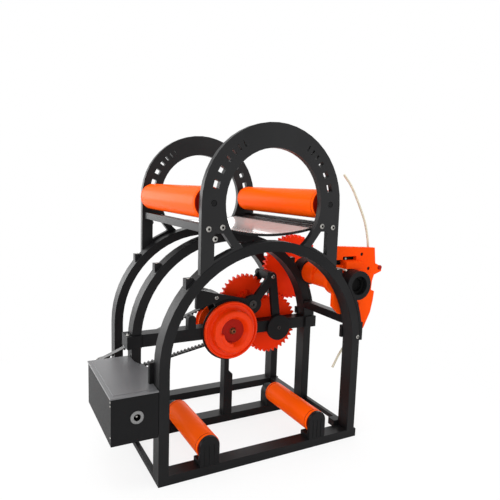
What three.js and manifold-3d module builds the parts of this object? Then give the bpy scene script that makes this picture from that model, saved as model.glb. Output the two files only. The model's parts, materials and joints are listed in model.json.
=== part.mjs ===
// Filament rewinder: three arch frames carry a driven spool hub below and a roller cradle above.
// A belt from the motor box turns the hub, and a gear train turns the level-wind screw at the side,
// which walks the filament guide to and fro along the spool.
// Millimetres, +Z up. Stations are measured from the front face of the front frame along +Y.
import * as THREE from "three";
import * as BufferGeometryUtils from "three/addons/utils/BufferGeometryUtils.js";
import Module from "manifold-3d";

const wasm = await Module();
wasm.setup();

// Arch frames
const frameWidth = 250; // outer width of a frame
const frameBand = 11; // width of a leg and of the arch
const frameDepth = 18; // front to back
const footRailHeight = 10; // bottom rail of a frame
const archCentreHeight = 121; // centre of the arch and of the crossbar
const spoolBay = 82.5; // clear length between front and middle frame
const driveBay = 65.5; // clear length between middle and back frame
const footNub = 3; // how far the foot rail stands out past the right leg
const lugInset = 32; // middle of the joint lug from the frame's side
const lugWidth = 8.5;
const lugDepth = 9; // front to back, in the middle of the frame's depth
const lugRise = 89.5; // top of the lug above the arch centre

// Fits
const seatGap = 0.3; // clearance between fitted pieces
const overrun = 1; // how far a cutting tool runs past the face it cuts

// Ring plates of the roller cradle
const ringRise = 164.5; // centre of the ring above the arch centre
const ringOuterRadius = 84;
const ringBand = 26; // from the bore to the outside
const ringThickness = 7;
const ringFootBand = 9; // width of the ring's lower band, beside the corner openings
const ringLegWidth = 14.5;
const ringCornerDrop = 30; // top of the corner openings below the ring centre
const ringCornerWall = 2.7; // web between a corner opening and the arch
const windowHeight = 6.5; // size of a window along the ring's radius
const windowWidth = 8.5; // size of the largest window along the ring
const windowWidthShares = [1, 0.76, 0.42, 0.27, 0.2, 0.16];
const windowAngles = [15, 27.5, 38, 45.5, 51.5, 57];

// Cradle beams, tray and upper rollers
const beamInset = 3; // outer face of a beam from the ring plate's side
const beamDrop = 21; // top of a beam below the ring centre
const beamHeight = 8.5;
const beamFlat = 8; // width of the beam's top flat
const beamStep = 3; // drop to the first ledge
const beamLedge = 10; // width of the first ledge
const beamLedgeDrop = 1.6; // drop to the second ledge
const trayInset = 29.3; // edge of the tray from a beam's outer face
const traySag = 6;
const trayThickness = 1.2;
const trayLip = 3; // how far the beam reaches under the tray's edge
const upperRollerRadius = 16.7;
const upperRollerPlay = 4.5; // gap between a roller and a ring plate
const rollerAxleRadius = 3;
const rollerRecess = 3; // depth of the recess in a roller's end
const rollerRim = 2.6; // wall left round the recess

// Lower rollers that carry the driven spool
const lowerRollerSpread = 69;
const lowerRollerRadius = 13.4;
const lowerRollerHeight = 28.7;
const bracketWidth = 19.5;
const bracketCrown = 5.8; // top of a back bracket above the roller axis
const bracketDomeRadius = 11.2; // round top of a front bracket
const bracketDomeRise = 2.4; // centre of the round top above the roller axis
const bracketBaseWidth = 27;
const bracketPlate = 5; // thickness of the upright plate
const bracketFace = 1.5; // wall left in front of the axle
const lowerAxleInset = 4.5; // roller axle's back end from the frame's outer face

// Side rails
const carriageRailHeight = 10;
const carriageRailRise = 30; // top of the rail above the arch centre
const sideRailSize = 5.5; // width and height of a front side rail
const sideRailRise = 7; // bottom of the right front rail above the floor
const sideRailEar = 12; // length of the screw ear at that rail's front end
const sideRailEarReach = 6; // how far the ear stands out past the leg's inner face
const sideRailEarHeight = 8.5;

// Crossbar and post of the middle frame
const crossbarHeight = 15;
const clampReach = 6; // how far an end clamp stands outside the leg
const clampCheek = 3;
const axleBossRadius = 14;
const earOffset = 51; // ear on the crossbar, left of the axle
const earWidth = 10;
const earDepth = 10;
const earRise = 24.5; // top of the ear above the arch centre
const postWidth = 12; // at its foot
const postNeckWidth = 6.5; // above the shoulder on its right
const postDepth = 12.5;
const postShoulder = 63; // height of the shoulder

// Hub and axle
const axleRise = 2; // hub axle above the arch centre
const axleRadius = 4;
const bearingWall = 3.7;
const hubRimRadius = 36.6;
const hubRimWidth = 2.8;
const hubRimDepth = 5;
const hubWeb = 2.5; // web behind the groove
const hubLength = 14;
const hubBossRadius = 27.3; // boss that enters the spool's hole
const hubBossChamfer = 1.5;
const hubCupRadius = 18.5;
const hubCupDepth = 7.5;
const hubLugReach = 4; // bayonet lug inside the cup
const hubLugWidth = 18;
const hubLugAngle = 225;
const boltHeadRadius = 3.2;
const boltHeadHeight = 2.5;
const backDiscRadius = 38.8;
const backDiscThickness = 1.4;

// Gear train
const gearModule = 2.125;
const gearThickness = 5.2;
const gearBacklash = 0.5;
const pressureAngle = 25;
const addendumShare = 0.8; // of the module
const dedendumShare = 1.05; // of the module
const drivePinionTeeth = 9;
const wheelTeeth = 32;
const wheelPinionTeeth = 12;
const layWheelTeeth = 36;
const layPinionTeeth = 12;
const idlerTeeth = 15;
const screwGearTeeth = 42;
const wheelAngle = 42.2; // direction from the axle to the first gear
const layAngle = -41.5; // from the first gear to the layshaft
const idlerAngle = 37.8; // from the layshaft to the idler
const screwAngle = 63.4; // from the idler to the level-wind screw
const gearPlay = 0.6; // side clearance of the gears
const screwGearThickness = 7;
const screwGearSetback = 27.5; // screw gear behind the crossbar
const pinRadius = 3;
const laySleeveRadius = 6;

// Gear carrier
const carrierThickness = 5;
const carrierArm = 11; // width of the plate's arms
const carrierBossRadius = 12.5;
const carrierWingReach = 27; // left edge of the front plate's wing, from the left standoff
const carrierWingRise = 13; // its top above the standoff
const carrierWingDrop = 12; // its bottom below the standoff
const carrierWingFoot = 7; // width of its lower edge
const rearCarrierThickness = 3.5;
const rearNutLength = 7; // nuts behind the rear plate
const leftPostX = -19.4; // the two corner standoffs, from the axle
const leftPostRise = 41.9;
const topPostX = 61;
const topPostRise = 63.8;
const standoffWidth = 10;
const layCapRadius = 17;
const layCapThickness = 4.5;

// Belt drive
const beltPitch = 5;
const axlePulleyTeeth = 33;
const motorPulleyTeeth = 14;
const beltWidth = 8;
const beltThickness = 1.6;
const flangeRise = 2; // flange past the inside of the belt
const flangeThickness = 1.6;

// Motor box on the left legs
const boxWidth = 46.5;
const boxLength = 110;
const boxHeight = 47;
const boxDrop = 20; // top of the box below the arch centre
const boxWall = 1.5;
const lidThickness = 1.5;
const lidOverhang = 0.8;
const lidEarWidth = 11; // ear of the lid between the front and the middle leg
const lidEarLength = 43;
const lidEarFoot = 73.7; // length of the ear where it leaves the lid
const boxBracketHeight = 22; // bracket on the ear, against the front leg
const boxBracketThickness = 5;
const boxBracketReach = 4;
const motorSize = 42;
const motorLength = 40;
const motorCorner = 4;
const motorShaftRadius = 2.5;
const motorShaftDepth = 18; // how deep the shaft sits in the motor
const motorDrop = 21.5; // motor shaft below the top of the box
const jackRadius = 7;
const jackBore = 3.4;
const jackBody = 5.4;
const jackLip = 1.4;
const jackDepth = 10;
const jackOffset = 1.75; // jack from the middle of the box's front

// Level-wind screw, its brackets and the carriage
const screwRadius = 15;
const journalRadius = 11;
const screwShaftRadius = 5;
const screwEndPlay = 0.6;
const bossRadius = 17.5;
const journalSetback = 10; // the journal's end lies this deep in the front boss
const strapThickness = 4;
const legClampRise = 2; // bottom of the clamp above the arch centre
const legClampHeight = 22;
const legCheekHeight = 15;
const legClampReach = 4;
const legClampInner = 2; // how far the back cheek reaches past the leg's inner face
const legClampCheek = 4.5;
const carriagePlay = 4; // gap between the front frame and the carriage plate at rest
const carriagePlate = 6;
const carriageSleeve = 18; // sleeve behind the plate
const sleeveWall = 4;
const blockDepth = 6; // guide block in front of the plate
const carriageWidth = 86.5;
const carriageHeight = 106.5;
const carriageLeft = 33.2; // left edge of the plate, from the screw's axis
const carriageDrop = 60.7; // tip of the horn, below the screw's axis
const carriageHoleRadius = 2.2;
const guideBlockWidth = 25.2;
const guideBlockHeight = 9;
const guideBlockOffset = -8.3; // left end of the block, from the screw's axis
const guideSlotWidth = 21; // slot above the block
const guideSlotHeight = 4.8;
const guideSlotRise = 0.5; // slot above the top of the block
const guideSlotOffset = -9.4; // left end of the slot, from the screw's axis
const guideNotchWidth = 11; // opening left of the block
const guideNotchHeight = 5; // below the top of the block
// Shares of the carriage's width and height, from its left edge and the tip of its horn
const carriageHoleShares = [[0.613, 0.89], [0.751, 0.718]];
const carriageOutlineShares = [
  [0, 1], [0, 0.709], [0.023, 0.54], [0.069, 0.502], [0.15, 0.446], [0.15, 0.296], [0.301, 0.183],
  [0.451, 0.183], [0.497, 0.286], [0.543, 0.362], [0.618, 0.315], [0.624, 0.202], [0.659, 0.099],
  [0.723, 0], [0.837, 0.188], [0.873, 0.324], [0.89, 0.437], [0.827, 0.46], [0.838, 0.568],
  [0.867, 0.638], [1, 0.676], [1, 0.714], [0.971, 0.742], [0.879, 0.775], [0.85, 0.962],
];

// Filament strand
const filamentRadius = 1.425;
const strandSteps = 40;
const strandSides = 8;
const strandPoints = [
  [111.8, 29.75, 320.4], [125.6, 29.75, 304.9], [140.7, 29.75, 279.2], [150.2, 29.75, 258.6],
  [156, 29.75, 233], [156.5, 29.75, 200], [154.5, 29.75, 165], [149, 29.75, 130],
  [134.5, 29.75, 113], [121.8, 29.75, 100], [110, 29.75, 80.6],
];

// Facets
const archSides = 64; // facets of a full circle as large as the arch
const ringSides = 48;
const wheelSides = 36;
const rollerSides = 24;
const smallSides = 12;

// Places worked out from the sizes above
const archRadius = frameWidth / 2;
const openingRadius = archRadius - frameBand;
const middleStation = frameDepth + spoolBay;
const backStation = middleStation + frameDepth + driveBay;
const rearFace = backStation + frameDepth;
const axleHeight = archCentreHeight + axleRise;
const lugOffset = archRadius - lugInset;
const ringCentreHeight = archCentreHeight + ringRise;
const ringBoreRadius = ringOuterRadius - ringBand;
const ringFootRadius = ringBoreRadius + ringFootBand;
const ringCornerTop = ringCentreHeight - ringCornerDrop;
const ringBandRadius = (ringOuterRadius + ringBoreRadius) / 2; // the windows and the roller axles lie on it
const cradleHalfWidth = ringOuterRadius - beamInset;
const trayHalfWidth = cradleHalfWidth - trayInset;
const beamTop = ringCentreHeight - beamDrop;
const bracketTop = lowerRollerHeight + bracketCrown;
const bracketBaseTop = lowerRollerHeight - lowerRollerRadius - seatGap;
const lowerAxleStart = bracketFace + seatGap;
const carriageRailTop = archCentreHeight + carriageRailRise;
const earTop = archCentreHeight + earRise;
const hubBack = middleStation - seatGap - backDiscThickness - seatGap;
const hubRimFront = hubBack - hubRimDepth;
const hubFloor = hubBack - hubWeb; // bottom of the groove behind the rim
const hubBossFront = hubBack - hubLength;
const hubCupFloor = hubBossFront + hubCupDepth;
const boxTop = archCentreHeight - boxDrop;
const boxBottom = boxTop - boxHeight;
const motorHeight = boxTop - motorDrop;
const legClampBottom = archCentreHeight + legClampRise;
const legClampTop = legClampBottom + legClampHeight;
const legCheekTop = legClampBottom + legCheekHeight;
const carriageStation = frameDepth + carriagePlay;
const axleBore = axleRadius + seatGap;
const pinBore = pinRadius + seatGap;
const rollerBore = rollerAxleRadius + seatGap;
const bearingRadius = axleBore + bearingWall;
const lugTop = archCentreHeight + lugRise;
const crossbarTop = archCentreHeight + crossbarHeight / 2;
const crossbarBottom = archCentreHeight - crossbarHeight / 2;
const crossbarBack = middleStation + frameDepth;
const screwGearStation = crossbarBack + screwGearSetback;
const frontGearStation = crossbarBack + gearPlay;
const rearGearStation = frontGearStation + gearThickness + gearPlay;
const rearCarrierStation = rearGearStation + gearThickness + gearPlay;
const rearCarrierBack = rearCarrierStation + rearCarrierThickness;
const beltRadius = axlePulleyTeeth * beltPitch / (2 * Math.PI); // inside of the belt on the axle pulley
const motorBeltRadius = motorPulleyTeeth * beltPitch / (2 * Math.PI);
const pulleyStation = rearCarrierBack + gearPlay;
const beltStation = pulleyStation + flangeThickness + gearPlay;
const beltEnd = beltStation + beltWidth;
const pulleyEnd = beltEnd + gearPlay + flangeThickness;
const screwGearEnd = screwGearStation + screwGearThickness;

const meshDistance = (a, b) => gearModule * (a + b) / 2;
const turn = (degrees) => degrees * Math.PI / 180;
const along = (from, degrees, distance) => ({
  x: from.x + distance * Math.cos(turn(degrees)),
  z: from.z + distance * Math.sin(turn(degrees)),
});
const archPlace = { x: 0, z: archCentreHeight };
const axlePlace = { x: 0, z: axleHeight };
const wheelPlace = along(axlePlace, wheelAngle, meshDistance(drivePinionTeeth, wheelTeeth));
const layPlace = along(wheelPlace, layAngle, meshDistance(wheelPinionTeeth, layWheelTeeth));
const idlerPlace = along(layPlace, idlerAngle, meshDistance(layPinionTeeth, idlerTeeth));
const screwPlace = along(idlerPlace, screwAngle, meshDistance(idlerTeeth, screwGearTeeth));
const leftPost = { x: leftPostX, z: axleHeight + leftPostRise };
const topPost = { x: topPostX, z: axleHeight + topPostRise };

// Solids: three.js geometry in, manifold solids joined and cut, geometry out
function solid(geometry) {
  const bare = geometry.clone();
  bare.deleteAttribute("normal");
  bare.deleteAttribute("uv");
  const merged = BufferGeometryUtils.mergeVertices(bare, 1e-5);
  return new wasm.Manifold(new wasm.Mesh({
    numProp: 3,
    vertProperties: new Float32Array(merged.attributes.position.array),
    triVerts: new Uint32Array(merged.index.array),
  }));
}

function geometryOf(body) {
  const mesh = body.getMesh();
  const geometry = new THREE.BufferGeometry();
  geometry.setAttribute("position", new THREE.BufferAttribute(new Float32Array(mesh.vertProperties), 3));
  geometry.setIndex(new THREE.BufferAttribute(new Uint32Array(mesh.triVerts), 1));
  geometry.computeVertexNormals();
  return geometry;
}

function join(...bodies) {
  return bodies.reduce((whole, body) => whole.add(body));
}

function cut(whole, ...tools) {
  return tools.reduce((rest, tool) => rest.subtract(tool), whole);
}

// Box between two corners
function block(x0, x1, y0, y1, z0, z1) {
  const geometry = new THREE.BoxGeometry(x1 - x0, y1 - y0, z1 - z0);
  geometry.translate((x0 + x1) / 2, (y0 + y1) / 2, (z0 + z1) / 2);
  return solid(geometry);
}

// Cylinder along Y between two stations
function rod(radius, place, start, end, sides = smallSides) {
  const geometry = new THREE.CylinderGeometry(radius, radius, end - start, sides);
  geometry.translate(place.x, (start + end) / 2, place.z);
  return solid(geometry);
}

// Body of revolution about a Y axis; profile of [radius, station], outside upward, closed by itself
function turned(profile, sides, place = { x: 0, z: 0 }) {
  const geometry = new THREE.LatheGeometry(profile.map(([r, y]) => new THREE.Vector2(r, y)), sides);
  geometry.translate(place.x, 0, place.z);
  return solid(geometry);
}

function tube(outer, inner, start, end, sides, place) {
  return turned([[inner, start], [outer, start], [outer, end], [inner, end], [inner, start]], sides, place);
}

// Outline in X and Z with its thickness along Y; an arc of any length gets twice arcSteps facets
function slab(shape, start, end, arcSteps = smallSides / 4) {
  const geometry = new THREE.ExtrudeGeometry(shape, {
    depth: end - start, bevelEnabled: false, curveSegments: arcSteps,
  });
  geometry.rotateX(Math.PI / 2);
  geometry.translate(0, end, 0);
  return solid(geometry);
}

function outline(points) {
  return new THREE.Shape(points.map(([x, z]) => new THREE.Vector2(x, z)));
}

// Bar with round ends between two places
function arm(from, to, width, start, end) {
  const direction = Math.atan2(to.z - from.z, to.x - from.x);
  const shape = new THREE.Shape();
  shape.absarc(from.x, from.z, width / 2, direction + Math.PI / 2, direction + 3 * Math.PI / 2, false);
  shape.absarc(to.x, to.z, width / 2, direction - Math.PI / 2, direction + Math.PI / 2, false);
  return slab(shape, start, end);
}

function ringSector(inner, outer, from, to, centre) {
  const shape = new THREE.Shape();
  shape.absarc(centre.x, centre.z, outer, turn(from), turn(to), false);
  shape.absarc(centre.x, centre.z, inner, turn(to), turn(from), true);
  return shape;
}

// Spur gear outline: each flank runs straight between its involute's points at the root and the tip
function gearShape(teeth, phase) {
  const pitch = gearModule * teeth / 2;
  const base = pitch * Math.cos(turn(pressureAngle));
  const root = pitch - dedendumShare * gearModule;
  const tip = pitch + addendumShare * gearModule;
  const involute = (radius) => {
    const angle = Math.acos(Math.min(1, base / Math.max(radius, base)));
    return Math.tan(angle) - angle;
  };
  const halfAtPitch = Math.PI / (2 * teeth) - gearBacklash / (4 * pitch);
  const half = (radius) => halfAtPitch + involute(pitch) - involute(radius);
  const points = [];
  for (let tooth = 0; tooth < teeth; tooth += 1) {
    const middle = phase + tooth * 2 * Math.PI / teeth;
    const flank = [root, tip].map((radius) => [radius, half(radius)]);
    const sides = [...flank.map(([r, h]) => [r, -h]), ...flank.reverse().map(([r, h]) => [r, h])];
    for (const [radius, angle] of sides) {
      points.push([radius * Math.cos(middle + angle), radius * Math.sin(middle + angle)]);
    }
  }
  return outline(points);
}

// Phase that puts a gap of the next gear opposite a tooth of the one before
function meshPhase(teeth, drivingTeeth, drivingPhase, degrees) {
  const direction = turn(degrees);
  return direction + Math.PI + ((direction - drivingPhase) * drivingTeeth - Math.PI) / teeth;
}

// Scene
const rewinder = new THREE.Group();
rewinder.name = "filament_rewinder";
rewinder.position.y = -(middleStation + frameDepth / 2);

function finish(color, roughness, metalness = 0) {
  return () => new THREE.MeshStandardMaterial({ color, roughness, metalness });
}
const blackPaint = finish(0x1b1b1c, 0.45);
const orangePlastic = finish(0xf2450c, 0.35);
const blackPlastic = finish(0x151515, 0.5);
const bareSteel = finish(0x9a9a9c, 0.35, 0.9);
const blackRubber = finish(0x101010, 0.8);
const trayPlastic = finish(0x1d1d1e, 0.15);
const paleFilament = finish(0xe6e0cf, 0.45);

function piece(name, body, material, parent = rewinder) {
  const mesh = new THREE.Mesh(geometryOf(body), material());
  mesh.name = name;
  parent.add(mesh);
  return mesh;
}

function axisGroup(place) {
  const group = new THREE.Group();
  group.position.set(place.x, 0, place.z);
  rewinder.add(group);
  return group;
}

const here = { x: 0, z: 0 };

// Frames
function frameSolid(start) {
  const end = start + frameDepth;
  const outside = new THREE.Shape();
  outside.moveTo(-archRadius, 0);
  outside.lineTo(archRadius + footNub, 0);
  outside.lineTo(archRadius + footNub, footRailHeight);
  outside.lineTo(archRadius, footRailHeight);
  outside.absarc(0, archCentreHeight, archRadius, 0, Math.PI, false);
  const inside = new THREE.Path();
  inside.moveTo(-openingRadius, footRailHeight);
  inside.lineTo(openingRadius, footRailHeight);
  inside.absarc(0, archCentreHeight, openingRadius, 0, Math.PI, false);
  outside.holes.push(inside);
  const bandMiddle = archRadius - frameBand / 2;
  const lugFoot = archCentreHeight + Math.sqrt(bandMiddle ** 2 - lugOffset ** 2);
  const lugs = [-1, 1].map((side) => block(
    side * lugOffset - lugWidth / 2, side * lugOffset + lugWidth / 2,
    start + (frameDepth - lugDepth) / 2, start + (frameDepth + lugDepth) / 2, lugFoot, lugTop,
  ));
  return join(slab(outside, start, end, archSides / 4), ...lugs);
}
piece("front_frame", frameSolid(0), blackPaint);
piece("middle_frame", frameSolid(middleStation), blackPaint);
piece("back_frame", frameSolid(backStation), blackPaint);

// Ring plates: a round-topped plate with a large bore, standing on the arch
function ringPlate(start, footRadius) {
  const end = start + ringThickness;
  const centre = { x: 0, z: ringCentreHeight };
  const plate = new THREE.Shape();
  plate.moveTo(-ringOuterRadius, archCentreHeight);
  plate.lineTo(ringOuterRadius, archCentreHeight);
  plate.lineTo(ringOuterRadius, ringCentreHeight);
  plate.absarc(0, ringCentreHeight, ringOuterRadius, 0, Math.PI, false);
  const corners = [-1, 1].map((side) => {
    const legX = side * (ringOuterRadius - ringLegWidth);
    const webRadius = archRadius + seatGap + ringCornerWall;
    const webHeight = (x) => archCentreHeight + Math.sqrt(webRadius ** 2 - x ** 2);
    const bandX = (z) => side * Math.sqrt(ringFootRadius ** 2 - (z - ringCentreHeight) ** 2);
    const lowX = side * (ringBoreRadius - frameBand + overrun);
    return slab(outline([
      [legX, ringCornerTop], [bandX(ringCornerTop), ringCornerTop], [lowX, webHeight(lowX)], [legX, webHeight(legX)],
    ]), start - overrun, end + overrun);
  });
  const windows = [];
  for (const side of [0, 1]) {
    windowAngles.forEach((degrees, index) => {
      const angle = side ? 180 - degrees : degrees;
      const halfAngle = windowWidth * windowWidthShares[index] / ringBandRadius / 2 * 180 / Math.PI;
      const inner = ringBandRadius - windowHeight / 2;
      const outer = ringBandRadius + windowHeight / 2;
      const corner = (radius, at) => [radius * Math.cos(turn(at)), ringCentreHeight + radius * Math.sin(turn(at))];
      windows.push(slab(outline([
        corner(inner, angle - halfAngle), corner(outer, angle - halfAngle),
        corner(outer, angle + halfAngle), corner(inner, angle + halfAngle),
      ]), start - overrun, end + overrun));
    });
  }
  const axleHoles = [-1, 1].map((side) => rod(
    rollerBore, { x: side * ringBandRadius, z: ringCentreHeight }, start - overrun, end + overrun,
  ));
  return cut(
    slab(plate, start, end, ringSides / 4),
    rod(ringBoreRadius, centre, start - overrun, end + overrun, ringSides),
    rod(footRadius, archPlace, start - overrun, end + overrun, archSides),
    ...corners, ...windows, ...axleHoles,
  );
}
piece("front_ring_plate", ringPlate(0, archRadius + seatGap), blackPaint);
piece("back_ring_plate", ringPlate(rearFace, archRadius - frameBand / 2), blackPaint);

// Lower side rails between the frames; the right front one lies higher and has a screw ear at its front end
const railOuter = archRadius;
const railInner = archRadius - sideRailSize;
piece("left_front_rail", block(-railOuter, -railInner, frameDepth, middleStation, 0, sideRailSize), blackPaint);
piece("right_front_rail", join(
  block(railInner, railOuter, frameDepth, middleStation, sideRailRise, sideRailRise + sideRailSize),
  block(
    openingRadius - sideRailEarReach, railInner + overrun, frameDepth, frameDepth + sideRailEar,
    sideRailRise, sideRailRise + sideRailEarHeight,
  ),
), blackPaint);
for (const [side, name] of [[-1, "left"], [1, "right"]]) {
  const inner = Math.min(side * openingRadius, side * archRadius);
  piece(`${name}_back_rail`, block(
    inner, inner + frameBand, crossbarBack, backStation, 0, footRailHeight,
  ), blackPaint);
}

// Rail that the carriage slides on, between the front and the middle arch
const railRise = carriageRailTop - carriageRailHeight / 2 - archCentreHeight;
const railMiddle = Math.sqrt((archRadius - frameBand / 2) ** 2 - railRise ** 2);
piece("carriage_rail", block(
  railMiddle - frameBand / 2, railMiddle + frameBand / 2,
  frameDepth, middleStation, carriageRailTop - carriageRailHeight, carriageRailTop,
), blackPaint);

// Cradle beams and tray between the ring plates
function cradleBeam(side) {
  const bottom = beamTop - beamHeight;
  const ledge = cradleHalfWidth - beamFlat;
  const trayEdge = trayHalfWidth + seatGap;
  const points = [
    [cradleHalfWidth, bottom], [cradleHalfWidth, beamTop], [ledge, beamTop], [ledge, beamTop - beamStep],
    [ledge - beamLedge, beamTop - beamStep], [ledge - beamLedge, beamTop - beamStep - beamLedgeDrop],
    [trayEdge, beamTop - beamStep - beamLedgeDrop], [trayEdge, bottom + overrun],
    [trayEdge - trayLip, bottom + overrun], [trayEdge - trayLip, bottom],
  ].map(([x, z]) => [side * x, z]);
  return slab(outline(points), ringThickness, rearFace);
}
piece("left_cradle_beam", cradleBeam(-1), blackPaint);
piece("right_cradle_beam", cradleBeam(1), blackPaint);
const trayRadius = (trayHalfWidth ** 2 + traySag ** 2) / (2 * traySag);
const trayAngle = Math.asin(trayHalfWidth / trayRadius) * 180 / Math.PI;
const trayLow = beamTop - beamHeight + overrun + seatGap - traySag + trayLip * 2 * traySag / trayHalfWidth;
const trayCentre = { x: 0, z: trayLow + trayRadius };
piece("cradle_tray", slab(
  ringSector(trayRadius - trayThickness, trayRadius, 270 - trayAngle, 270 + trayAngle, trayCentre),
  ringThickness + seatGap, rearFace - seatGap, ringSides / 8,
), trayPlastic);

// Rollers: a tube on a fixed axle, with recessed ends
function rollerSolid(radius, start, end) {
  const recess = radius - rollerRim;
  return turned([
    [rollerBore, start + rollerRecess], [recess, start + rollerRecess], [recess, start], [radius, start],
    [radius, end], [recess, end], [recess, end - rollerRecess], [rollerBore, end - rollerRecess],
    [rollerBore, start + rollerRecess],
  ], rollerSides);
}
for (const [side, name] of [[-1, "left"], [1, "right"]]) {
  const upper = axisGroup({ x: side * ringBandRadius, z: ringCentreHeight });
  const upperEnd = rearFace - upperRollerPlay;
  const upperRoller = rollerSolid(upperRollerRadius, ringThickness + upperRollerPlay, upperEnd);
  const upperAxle = rod(rollerAxleRadius, here, seatGap, rearFace + ringThickness - seatGap);
  piece(`${name}_upper_roller`, upperRoller, orangePlastic, upper);
  piece(`${name}_upper_axle`, upperAxle, bareSteel, upper);
  const lower = axisGroup({ x: side * lowerRollerSpread, z: lowerRollerHeight });
  const lowerRoller = rollerSolid(lowerRollerRadius, bracketPlate + seatGap, middleStation - seatGap);
  const lowerAxle = rod(rollerAxleRadius, here, lowerAxleStart, crossbarBack - lowerAxleInset);
  piece(`${name}_lower_roller`, lowerRoller, orangePlastic, lower);
  piece(`${name}_lower_axle`, lowerAxle, bareSteel, lower);
}

// Brackets of the lower rollers on the foot rails: in front a round-topped plate on a base, behind a plain block
function frontRollerBracket(side) {
  const x = side * lowerRollerSpread;
  const half = bracketBaseWidth / 2;
  const shape = new THREE.Shape();
  shape.moveTo(x - bracketDomeRadius, footRailHeight);
  shape.lineTo(x + bracketDomeRadius, footRailHeight);
  shape.absarc(x, lowerRollerHeight + bracketDomeRise, bracketDomeRadius, 0, Math.PI, false);
  const base = block(x - half, x + half, 0, frameDepth, footRailHeight, bracketBaseTop);
  const hole = rod(rollerBore, { x, z: lowerRollerHeight }, bracketFace, frameDepth);
  return cut(join(slab(shape, 0, bracketPlate, smallSides / 2), base), hole);
}
function backRollerBracket(side, start) {
  const x = side * lowerRollerSpread;
  const radius = bracketWidth / 2;
  const shape = new THREE.Shape();
  shape.moveTo(x - radius, footRailHeight);
  shape.lineTo(x + radius, footRailHeight);
  shape.absarc(x, bracketTop - radius, radius, 0, Math.PI, false);
  const hole = rod(rollerBore, { x, z: lowerRollerHeight }, start - overrun, start + frameDepth + overrun);
  return cut(slab(shape, start, start + frameDepth, smallSides / 3), hole);
}
for (const [side, name] of [[-1, "left"], [1, "right"]]) {
  piece(`${name}_front_roller_bracket`, frontRollerBracket(side), blackPlastic);
  piece(`${name}_back_roller_bracket`, backRollerBracket(side, middleStation), blackPlastic);
}

// Crossbar in the middle arch, with the bearing boss and the ear; clamps hold it to the legs
const crossbarReach = Math.sqrt((openingRadius - seatGap) ** 2 - (crossbarHeight / 2) ** 2) - seatGap;
const earPlace = { x: -earOffset, z: earTop - earWidth / 2 };
const crossbarSolid = cut(
  join(
    block(-crossbarReach, crossbarReach, middleStation, crossbarBack, crossbarBottom, crossbarTop),
    rod(axleBossRadius, axlePlace, middleStation, crossbarBack, rollerSides),
    arm({ x: -earOffset, z: archCentreHeight }, earPlace, earWidth, middleStation, middleStation + earDepth),
  ),
  rod(bearingRadius + seatGap, axlePlace, middleStation - overrun, crossbarBack + overrun, rollerSides),
);
piece("crossbar", crossbarSolid, blackPlastic);
function crossbarClamp(side) {
  const outer = archRadius + clampReach;
  const [x0, x1] = side < 0 ? [-outer, -openingRadius] : [openingRadius, outer];
  const leg = side < 0 ? [-archRadius - seatGap, x1 + overrun] : [x0 - overrun, archRadius + seatGap];
  return cut(
    block(x0, x1, middleStation - clampCheek, crossbarBack + clampCheek, crossbarBottom, crossbarTop),
    block(leg[0], leg[1], middleStation - seatGap, crossbarBack + seatGap, crossbarBottom - overrun, crossbarTop + overrun),
  );
}
piece("left_crossbar_clamp", crossbarClamp(-1), blackPlastic);
piece("right_crossbar_clamp", crossbarClamp(1), blackPlastic);
const postLeft = -postWidth / 2;
const postTop = axleHeight - axleBossRadius;
const shoulderTop = postShoulder + postWidth - postNeckWidth;
piece("post", slab(outline([
  [postLeft, footRailHeight], [-postLeft, footRailHeight], [-postLeft, postShoulder],
  [postLeft + postNeckWidth, shoulderTop], [postLeft + postNeckWidth, postTop], [postLeft, postTop],
]), middleStation, middleStation + postDepth), blackPaint);

// Gear carrier: front plate on the crossbar, rear plate on two standoffs
const carrierBack = middleStation + carrierThickness;
const frontArm = (from, to) => arm(from, to, carrierArm, middleStation, carrierBack);
const rearArm = (from, to) => arm(from, to, carrierArm, rearCarrierStation, rearCarrierBack);
const wingLeft = leftPost.x - carrierWingReach;
const wing = outline([
  [wingLeft, leftPost.z - carrierWingDrop], [wingLeft + carrierWingFoot, leftPost.z - carrierWingDrop],
  [leftPost.x, leftPost.z - carrierArm / 2], [leftPost.x, leftPost.z + carrierArm / 2],
  [wingLeft, leftPost.z + carrierWingRise],
]);
piece("gear_carrier_front", cut(
  join(
    slab(wing, middleStation, carrierBack),
    frontArm(leftPost, wheelPlace), frontArm(leftPost, axlePlace), frontArm(wheelPlace, axlePlace),
    frontArm(wheelPlace, topPost), frontArm(topPost, layPlace),
    rod(carrierBossRadius, wheelPlace, middleStation, carrierBack, rollerSides),
  ),
  block(-openingRadius, openingRadius, middleStation - overrun, carrierBack + overrun, 0, crossbarTop),
  rod(axleBossRadius + seatGap, axlePlace, middleStation - overrun, carrierBack + overrun, rollerSides),
  rod(pinBore, wheelPlace, middleStation - overrun, carrierBack + overrun),
), blackPlastic);
piece("gear_carrier_rear", cut(
  join(
    rearArm(leftPost, axlePlace), rearArm(axlePlace, wheelPlace), rearArm(wheelPlace, topPost),
    rearArm(wheelPlace, layPlace), rearArm(layPlace, idlerPlace),
    rod(axleBossRadius, axlePlace, rearCarrierStation, rearCarrierBack, rollerSides),
    rod(carrierBossRadius, layPlace, rearCarrierStation, rearCarrierBack, rollerSides),
    rod(standoffWidth / 2, leftPost, rearCarrierStation, rearCarrierBack + rearNutLength),
    rod(standoffWidth / 2, topPost, rearCarrierStation, rearCarrierBack + rearNutLength),
    rod(pinRadius, idlerPlace, rearCarrierStation, screwGearEnd + pinRadius / 2),
    rod(laySleeveRadius, idlerPlace, rearCarrierStation, screwGearStation - seatGap),
  ),
  rod(bearingRadius + seatGap, axlePlace, rearCarrierStation - overrun, rearCarrierBack + overrun, rollerSides),
  rod(pinBore, wheelPlace, rearCarrierStation - overrun, rearCarrierBack + overrun),
  rod(laySleeveRadius + seatGap, layPlace, rearCarrierStation - overrun, rearCarrierBack + overrun),
), blackPlastic);
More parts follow.
